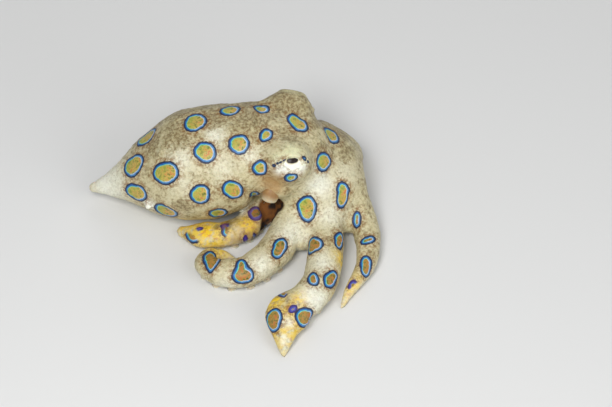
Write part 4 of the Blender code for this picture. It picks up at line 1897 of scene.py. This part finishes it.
@dataclass(frozen=True)
class SkinFinish:
    """Cream skin with olive-brown speckle, gold patches and blue rings, with painted shade in the pocket
    under the funnel and some painted highlights.
    """

    cream: Colour = (0.58, 0.51, 0.28)
    white: Colour = (0.78, 0.765, 0.61)
    brown: Colour = (0.13, 0.075, 0.022)
    olive: Colour = (0.30, 0.23, 0.09)
    gold: Colour = (0.88, 0.60, 0.015)
    orange: Colour = (0.66, 0.30, 0.05)
    halo: Colour = (0.25, 0.115, 0.025)
    lid: Colour = (0.84, 0.87, 0.54)
    # Colour of the white skin and of the painted highlights.
    white_and_highlight_colour: Colour = (0.92, 0.94, 0.84)
    blush: Colour = (0.46, 0.27, 0.10)
    # Painted shade in the pocket under the funnel, from its lighter part to its darkest patches.
    hollow: Colour = (0.20, 0.070, 0.010)
    deep: Colour = (0.022, 0.009, 0.004)
    white_drift: float = 0.35
    blotch_olive: float = 0.55
    blotch_brown: float = 0.85
    dot_brown: float = 0.35
    speck_olive: float = 0.30
    pale_over_brown: float = 0.7
    pale_over_gold: float = 0.8
    gold_gaps: Span = (0.28, 0.55)
    orange_patches: Span = (0.52, 0.70)
    blush_cover: float = 0.8
    lid_cover: float = 0.55
    bright_gaps: Span = (0.30, 0.50)
    bright_least: float = 0.6
    halo_specks: float = 0.75
    halo_least: float = 0.10
    deep_shade_patches: Span = (0.42, 0.58)
    roughness: float = 0.46
    roughness_drift: float = 0.15
    hollow_roughness: float = 0.35
    grain: float = 0.75
    wetness: Wetness = Wetness(0.12, (1.0, 0.55, 0.3), 0.8, 0.10, 0.28)

    def material(self, effects: Effects) -> bpy.types.Material:
        """Make the material.

        Args:
            effects: Shared groups.

        Returns:
            The material.
        """
        material, graph, shader, place = new_material("skin")
        pale, hollow = graph.value(Field.PALE), graph.value(Field.PAINTED_SHADE)
        cover = graph.minus(graph.value(Field.BROWN), graph.times(pale, self.pale_over_brown))
        speckle = effects.use(graph, effects.speckle, Place=place, Cover=cover)
        ring = effects.use(graph, effects.ring, Place=place, Distance=graph.value(Field.RING),
                           Turn=graph.value(Field.TURN), Strength=graph.value(Field.STRENGTH),
                           Violet=graph.value(Field.VIOLET), Umber=graph.value(Field.UMBER))
        base = self._speckled(graph, place, pale, speckle)
        base = self._patched(graph, place, pale, base)
        specks = graph.plus(graph.times(speckle.outputs["Speck"], self.halo_specks), self.halo_least)
        base = graph.mix(graph.times(ring.outputs["Halo"], specks), base, self.halo)
        colour = graph.mix(ring.outputs["Cover"], base, ring.outputs["Colour"])
        # Painted shade in the pocket under the funnel, darker in noisy patches.
        inside = graph.span(graph.noise(place, 2.4, 1.0), *self.deep_shade_patches)
        colour = graph.mix(hollow, colour, graph.mix(inside, self.hollow, self.deep))
        rough = graph.plus(self.roughness, graph.times(graph.noise(place, 0.9), self.roughness_drift))
        rough = graph.plus(rough, graph.times(hollow, self.hollow_roughness))
        grain = effects.use(graph, effects.grain, Place=place, Strength=self.grain)
        film = graph.times(graph.minus(1.0, hollow, True), self.wetness.film)
        self.wetness.apply(graph, shader)
        graph.fill(shader, Base_Color=colour, Roughness=rough, Coat_Weight=film,
                   Normal=grain.outputs["Normal"])
        return material

    def _speckled(self, graph: Graph, place: Socket, pale: Socket, speckle: bpy.types.Node) -> Socket:
        """Lay blotches and specks over the cream ground.

        Args:
            graph: The material's graph.
            place: Coordinates on the object.
            pale: Cover of the pale patches.
            speckle: Group of blotches and specks.

        Returns:
            The colour.
        """
        blotch, speck, dots = (speckle.outputs[name] for name in ("Blotch", "Speck", "Dots"))
        white = graph.plus(pale, graph.times(graph.noise(place, 1.6), self.white_drift), True)
        base = graph.mix(white, self.cream, self.white)
        base = graph.mix(graph.times(blotch, self.blotch_olive), base, self.olive)
        base = graph.mix(graph.times(graph.times(blotch, speck), self.blotch_brown), base, self.brown)
        base = graph.mix(graph.times(dots, graph.times(speck, self.dot_brown)), base, self.brown)
        return graph.mix(graph.times(speck, self.speck_olive), base, self.olive)

    def _patched(self, graph: Graph, place: Socket, pale: Socket, base: Socket) -> Socket:
        """Lay the blush, the gold, the lids' green and the white patches, with painted highlights among
        them, over the skin.

        Args:
            graph: The material's graph.
            place: Coordinates on the object.
            pale: Cover of the pale patches.
            base: Colour under them.

        Returns:
            The colour.
        """
        base = graph.mix(graph.times(graph.value(Field.BLUSH), self.blush_cover), base, self.blush)
        gaps = graph.span(graph.noise(place, 1.4, 2.0, 0.6), *self.gold_gaps)
        gold = graph.times(graph.value(Field.GOLD), gaps)
        gold = graph.times(gold, graph.minus(1.0, graph.times(pale, self.pale_over_gold)), True)
        warm = graph.mix(graph.span(graph.noise(place, 0.9), *self.orange_patches), self.gold, self.orange)
        base = graph.mix(gold, base, warm)
        base = graph.mix(graph.times(graph.value(Field.LID), self.lid_cover), base, self.lid)
        # White skin and painted highlights, broken up by noise.
        gaps = graph.span(graph.noise(place, 1.3), *self.bright_gaps, self.bright_least)
        return graph.mix(graph.times(graph.value(Field.WHITE), gaps), base, self.white_and_highlight_colour)


@dataclass(frozen=True)
class FleshFinish:
    """Translucent flesh of one colour, such as the funnel's or the suckers'."""

    name: str
    colour: Colour
    shade: Colour
    lip: Colour
    roughness: float
    grain: float
    blotches: float = 0.25
    shade_cover: float = 0.7
    wetness: Wetness = Wetness(0.35, (1.0, 0.5, 0.25), 1.0, 0.12, 0.25)

    def material(self, effects: Effects) -> bpy.types.Material:
        """Make the material.

        Args:
            effects: Shared groups.

        Returns:
            The material.
        """
        material, graph, shader, place = new_material(self.name)
        speckle = effects.use(graph, effects.speckle, Place=place, Cover=self.blotches)
        share = graph.times(speckle.outputs["Blotch"], self.shade_cover)
        base = graph.mix(share, self.colour, self.shade)
        colour = graph.mix(graph.value(Field.LIP), base, self.lip)
        grain = effects.use(graph, effects.grain, Place=place, Strength=self.grain)
        self.wetness.apply(graph, shader)
        graph.fill(shader, Base_Color=colour, Roughness=self.roughness, Normal=grain.outputs["Normal"])
        return material


FUNNEL_FLESH = FleshFinish("funnel", colour=(0.42, 0.25, 0.095), shade=(0.26, 0.13, 0.04),
                           lip=(0.56, 0.48, 0.31), roughness=0.50, grain=0.3)
SUCKER_FLESH = FleshFinish("suckers", colour=(0.66, 0.57, 0.41), shade=(0.46, 0.36, 0.21),
                           lip=(0.80, 0.75, 0.62), roughness=0.35, grain=0.2)


@dataclass(frozen=True)
class EyeFinish:
    """White of the eye with a dark slit, under a clear film."""

    white: Colour = (0.92, 0.92, 0.84)
    iris: Colour = (0.50, 0.42, 0.22)
    pupil: Colour = (0.012, 0.004, 0.003)
    specks: float = 0.12
    iris_cover: float = 0.75
    iris_edge: Span = (0.10, 0.42)
    pupil_edge: Span = (0.0, 0.12)
    roughness: float = 0.35
    shine: float = 0.20
    film: float = 0.06
    film_roughness: float = 0.10

    def material(self, effects: Effects) -> bpy.types.Material:
        """Make the material.

        Args:
            effects: Shared groups.

        Returns:
            The material.
        """
        material, graph, shader, place = new_material("eyeball")
        slit = graph.add("ShaderNodeAttribute", attribute_name="slit_distance").outputs["Fac"]
        speckle = effects.use(graph, effects.speckle, Place=place, Cover=0.0)
        base = graph.mix(graph.times(speckle.outputs["Speck"], self.specks), self.white, self.iris)
        base = graph.mix(graph.span(slit, *self.iris_edge, self.iris_cover, 0.0), base, self.iris)
        base = graph.mix(graph.span(slit, *self.pupil_edge, 1.0, 0.0), base, self.pupil)
        graph.fill(shader, Base_Color=base, Roughness=self.roughness, Specular_IOR_Level=self.shine,
                   Coat_Weight=self.film, Coat_Roughness=self.film_roughness)
        return material


@dataclass(frozen=True)
class GroundFinish:
    """Plain pale floor."""

    colour: Colour = (0.72, 0.72, 0.71)
    roughness: float = 0.8

    def material(self) -> bpy.types.Material:
        """Make the material.

        Returns:
            The material.
        """
        material, graph, shader, _ = new_material("floor")
        graph.fill(shader, Base_Color=self.colour, Roughness=self.roughness)
        return material


@dataclass
class Eyes:
    """The two eyeballs."""

    body: Body
    slit_half_width: float = 1.12
    slit_half_height: float = 0.48
    slit_curve: float = 0.20
    slit_height: float = 0.68
    slit_rise: float = 0.10
    sides: int = 96
    rows: int = 64

    def build(self, finish: EyeFinish, effects: Effects) -> list[Thing]:
        """Make the eyeballs.

        Args:
            finish: Their look.
            effects: Shared groups.

        Returns:
            The two objects.
        """
        material = finish.material(effects)
        balls = []
        for socket in self.body.sockets:
            name = "eye_left" if socket.side > 0 else "eye_right"
            points, faces = self._ball(socket)
            thing = new_piece(f"{name}_ball", points, faces)
            store(thing.data, "slit_distance", self._slit(socket, points))
            thing.data.materials.append(material)
            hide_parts(name)
            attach(thing, "root")
            balls.append(thing)
        return balls

    def _ball(self, socket: EyeSocket) -> tuple[Array, Faces]:
        """Make a fine ball with its pole in front.

        Args:
            socket: The eye.

        Returns:
            Points and faces.
        """
        ball = ball_points(self.sides, self.rows) @ np.array([socket.along, socket.above, socket.gaze])
        faces = tube_faces(self.rows, self.sides)
        if socket.side > 0:
            faces = [face[::-1] for face in faces]
        return ball * socket.radius + socket.centre, faces

    def _slit(self, socket: EyeSocket, points: Array) -> Array:
        """Measure how far points lie outside the slit.

        Args:
            socket: The eye.
            points: Points of the ball.

        Returns:
            Signed distances, large behind.
        """
        a, b, out = socket.spread(points)
        b = b - self.slit_height - self.slit_rise * a - self.slit_curve * a * a
        corner = self.slit_half_height / 2
        wide = np.abs(a) - (self.slit_half_width - corner)
        tall = np.abs(b) - corner
        outside = np.hypot(np.maximum(wide, 0.0), np.maximum(tall, 0.0))
        distance = outside + np.minimum(np.maximum(wide, tall), 0.0) - corner
        return np.where(out > 0, distance, BARE)


@dataclass
class Funnel:
    """The funnel below the near eye, a flared tube open at its end."""

    root: Place = (-2.6, -7.7, 14.8)
    bend: Place = (-3.7, -9.9, 14.5)
    end: Place = (-4.4, -11.2, 12.6)
    root_radius: float = 2.45
    end_radius: float = 1.62
    taper: float = 1.6
    wall: float = 0.76
    bore_depth: float = 2.4
    bore_taper: float = 0.45
    lip_start: float = 0.97
    bore_start: float = 0.12
    pale_start: float = 0.75
    waver: float = 0.05
    waver_turn: float = 0.8
    wavers: int = 3
    outer_rows: int = 20
    lip_rows: int = 9
    bore_rows: int = 8
    sides: int = 56

    def build(self, finish: FleshFinish, effects: Effects) -> Thing:
        """Make the funnel.

        Args:
            finish: Its look.
            effects: Shared groups.

        Returns:
            The object.
        """
        turn = turns(self.sides)
        rows, pale = [], []
        for share, radius, cover in self._profile():
            middle, across, other = self._station(share)
            radius = radius * (1.0 + self.waver * np.sin(turn * self.wavers + self.waver_turn) * share)
            rows.append(middle + np.outer(np.cos(turn) * radius, across)
                        + np.outer(np.sin(turn) * radius, other))
            pale.append(np.full(self.sides, cover))
        thing = new_piece("funnel_tube", np.concatenate(rows), tube_faces(len(rows), self.sides))
        store(thing.data, Field.LIP.value, np.concatenate(pale))
        thing.data.materials.append(finish.material(effects))
        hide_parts("funnel")
        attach(thing, "root")
        return thing

    def _profile(self) -> list[tuple[float, float, float]]:
        """Work out the rows from the root over the lip into the bore.

        Returns:
            Share of the length, radius and paleness of each row.
        """
        length = math.dist(self.root, self.end)
        lip, roll = self._outer(1.0), self.wall / 2
        fade = 1.0 - self.pale_start
        outer = [(share, self._outer(share), (max(0.0, share - self.pale_start) / fade)**2)
                 for share in np.linspace(0.0, self.lip_start, self.outer_rows)]
        rim = [(1.0 + roll * math.sin(swing) / length, lip - roll + roll * math.cos(swing), 1.0)
               for swing in np.linspace(0.0, math.pi, self.lip_rows)]
        mouth = lip - self.wall
        bore = [(1.0 - self.bore_depth * share / length, mouth * (1.0 - self.bore_taper * share), 0.0)
                for share in np.linspace(self.bore_start, 1.0, self.bore_rows)]
        return outer + rim + bore

    def _station(self, share: float) -> tuple[Array, Array, Array]:
        """Find the funnel's middle and the directions across it.

        Args:
            share: Share of its length.

        Returns:
            The middle and two directions.
        """
        root, bend, end = (np.array(point) for point in (self.root, self.bend, self.end))
        rest = 1.0 - share
        middle = root * rest * rest + bend * 2 * share * rest + end * share * share
        axis = (bend - root) * rest + (end - bend) * share
        across = np.cross(axis, UP)
        across /= np.linalg.norm(across)
        other = np.cross(axis, across)
        return middle, across, other / np.linalg.norm(other)

    def _outer(self, share: float) -> float:
        """Work out the radius at a share of the funnel's length."""
        return self.root_radius - (self.root_radius - self.end_radius) * share**self.taper


@dataclass
class Suckers:
    """Two rows of cups under each arm.

    Attributes:
        body: The body that carries them.
        sides: Sides of a cup.
        profile: Width, depth below the rim and paleness of each row of a cup, as shares.
    """

    body: Body
    sides: int = 16
    profile: tuple[Place, ...] = (
        (0.70, 1.0, 0.0), (0.80, 0.35, 0.0), (1.0, 0.10, 1.0), (0.92, 0.0, 1.0), (0.70, 0.0, 0.6),
        (0.52, 0.18, 0.0), (0.22, 0.34, 0.0))

    def build(self, finish: FleshFinish, effects: Effects) -> Thing:
        """Make the suckers as one mesh.

        Args:
            finish: Their look.
            effects: Shared groups.

        Returns:
            The object.
        """
        points: list[Array] = []
        faces: Faces = []
        cup = tube_faces(len(self.profile), self.sides)
        for arm in self.body.arms:
            for s, side in self._places(arm):
                start = len(points) * self.sides
                points.extend(self._cup(arm, s, side))
                faces.extend(tuple(start + i for i in face) for face in cup)
        every = np.concatenate(points)
        every[:, 2] = np.maximum(every[:, 2], 0.0)
        thing = new_piece("suckers", every, faces)
        rims = np.repeat([pale for _, _, pale in self.profile], self.sides)
        store(thing.data, Field.LIP.value, np.tile(rims, len(every) // len(rims)))
        thing.data.materials.append(finish.material(effects))
        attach(thing, "root")
        return thing

    @staticmethod
    def _places(arm: Arm) -> list[tuple[float, int]]:
        """Space the suckers along an arm.

        Args:
            arm: The arm.

        Returns:
            Distance along the arm and side of each sucker.
        """
        shape = arm.shape
        places = []
        s, side = shape.first_sucker, 1
        while True:
            thick = float(np.interp(s, arm.s, arm.thick))
            radius = max(thick * shape.sucker_share, shape.sucker_smallest)
            if s + radius > arm.length:
                return places
            places.append((s, side))
            side = -side
            s += max(shape.sucker_pitch * thick / 2, shape.sucker_closest)

    def _cup(self, arm: Arm, s: float, side: int) -> list[Array]:
        """Make the rows of points of one cup.

        Args:
            arm: The arm.
            s: Distance along it.
            side: Which row of cups.

        Returns:
            Rows from the root over the rim to the hollow.
        """
        shape = arm.shape
        i = int(np.argmin(np.abs(arm.s - s)))
        thick, half = arm.thick[i], arm.half[i]
        radius = max(thick * shape.sucker_share, shape.sucker_smallest)
        middle = arm.centre[i] + arm.left[i] * (side * shape.sucker_offset * half)
        rim = arm.rest[i]
        depth = rim - thick * shape.height_share * shape.sucker_sink
        turn = turns(self.sides)
        rows = []
        for size, sunk, _ in self.profile:
            down = rim - sunk * depth
            rows.append(middle - arm.up[i] * down + np.outer(np.cos(turn) * radius * size, arm.left[i])
                        + np.outer(np.sin(turn) * radius * size, arm.ahead[i]))
        return rows


@dataclass
class Studio:
    """Plain floor and soft lights, in metres and watts."""

    floor_size: float = 3.0
    lights: tuple[tuple[str, Place, float, float], ...] = (
        ("key", (-0.07, -0.22, 0.32), 0.16, 1.05), ("fill", (0.26, -0.22, 0.22), 0.30, 0.55),
        ("back", (0.05, 0.30, 0.26), 0.25, 0.26))
    sky_colour: Colour = (0.95, 0.97, 1.0)
    sky_strength: float = 0.26

    def build(self, finish: GroundFinish) -> None:
        """Set the stage.

        Args:
            finish: The floor's look.
        """
        half = self.floor_size / 2
        mesh = bpy.data.meshes.new("floor")
        mesh.from_pydata([(-half, -half, 0.0), (half, -half, 0.0), (half, half, 0.0), (-half, half, 0.0)],
                         [], [(0, 1, 2, 3)])
        mesh.materials.append(finish.material())
        floor = bpy.data.objects.new("floor", mesh)
        bpy.context.scene.collection.objects.link(floor)
        for light in self.lights:
            self._light(*light)
        world = bpy.data.worlds.new("world")
        world.use_nodes = True
        sky = world.node_tree.nodes["Background"]
        sky.inputs["Color"].default_value = (*self.sky_colour, 1.0)
        sky.inputs["Strength"].default_value = self.sky_strength
        bpy.context.scene.world = world
        bpy.context.scene.view_settings.view_transform = "Standard"

    @staticmethod
    def _light(name: str, place: Place, size: float, power: float) -> None:
        """Hang one soft light that faces the animal.

        Args:
            name: Its name.
            place: Where it hangs, in metres.
            size: Width of its face in metres.
            power: Watts.
        """
        lamp = bpy.data.lights.new(name, "AREA")
        lamp.size = size
        lamp.energy = power
        light = bpy.data.objects.new(name, lamp)
        bpy.context.scene.collection.objects.link(light)
        light.location = place
        light.rotation_euler = (-Vector(place)).to_track_quat("-Z", "Y").to_euler()


def main() -> None:
    """Build the whole scene."""
    logging.basicConfig(level=logging.INFO, format="%(message)s")
    effects = Effects()
    body = Body()
    view = View()
    skin = Skin(body, view).build()
    skin.data.materials.append(SkinFinish().material(effects))
    eyes = Eyes(body).build(EyeFinish(), effects)
    funnel = Funnel().build(FUNNEL_FLESH, effects)
    suckers = Suckers(body).build(SUCKER_FLESH, effects)
    for piece in (skin, *eyes, funnel, suckers):
        LOG.info("%s has %d faces", piece.name, len(piece.data.polygons))
    Studio().build(GroundFinish())
    view.make_camera()


if __name__ == "__main__":
    main()
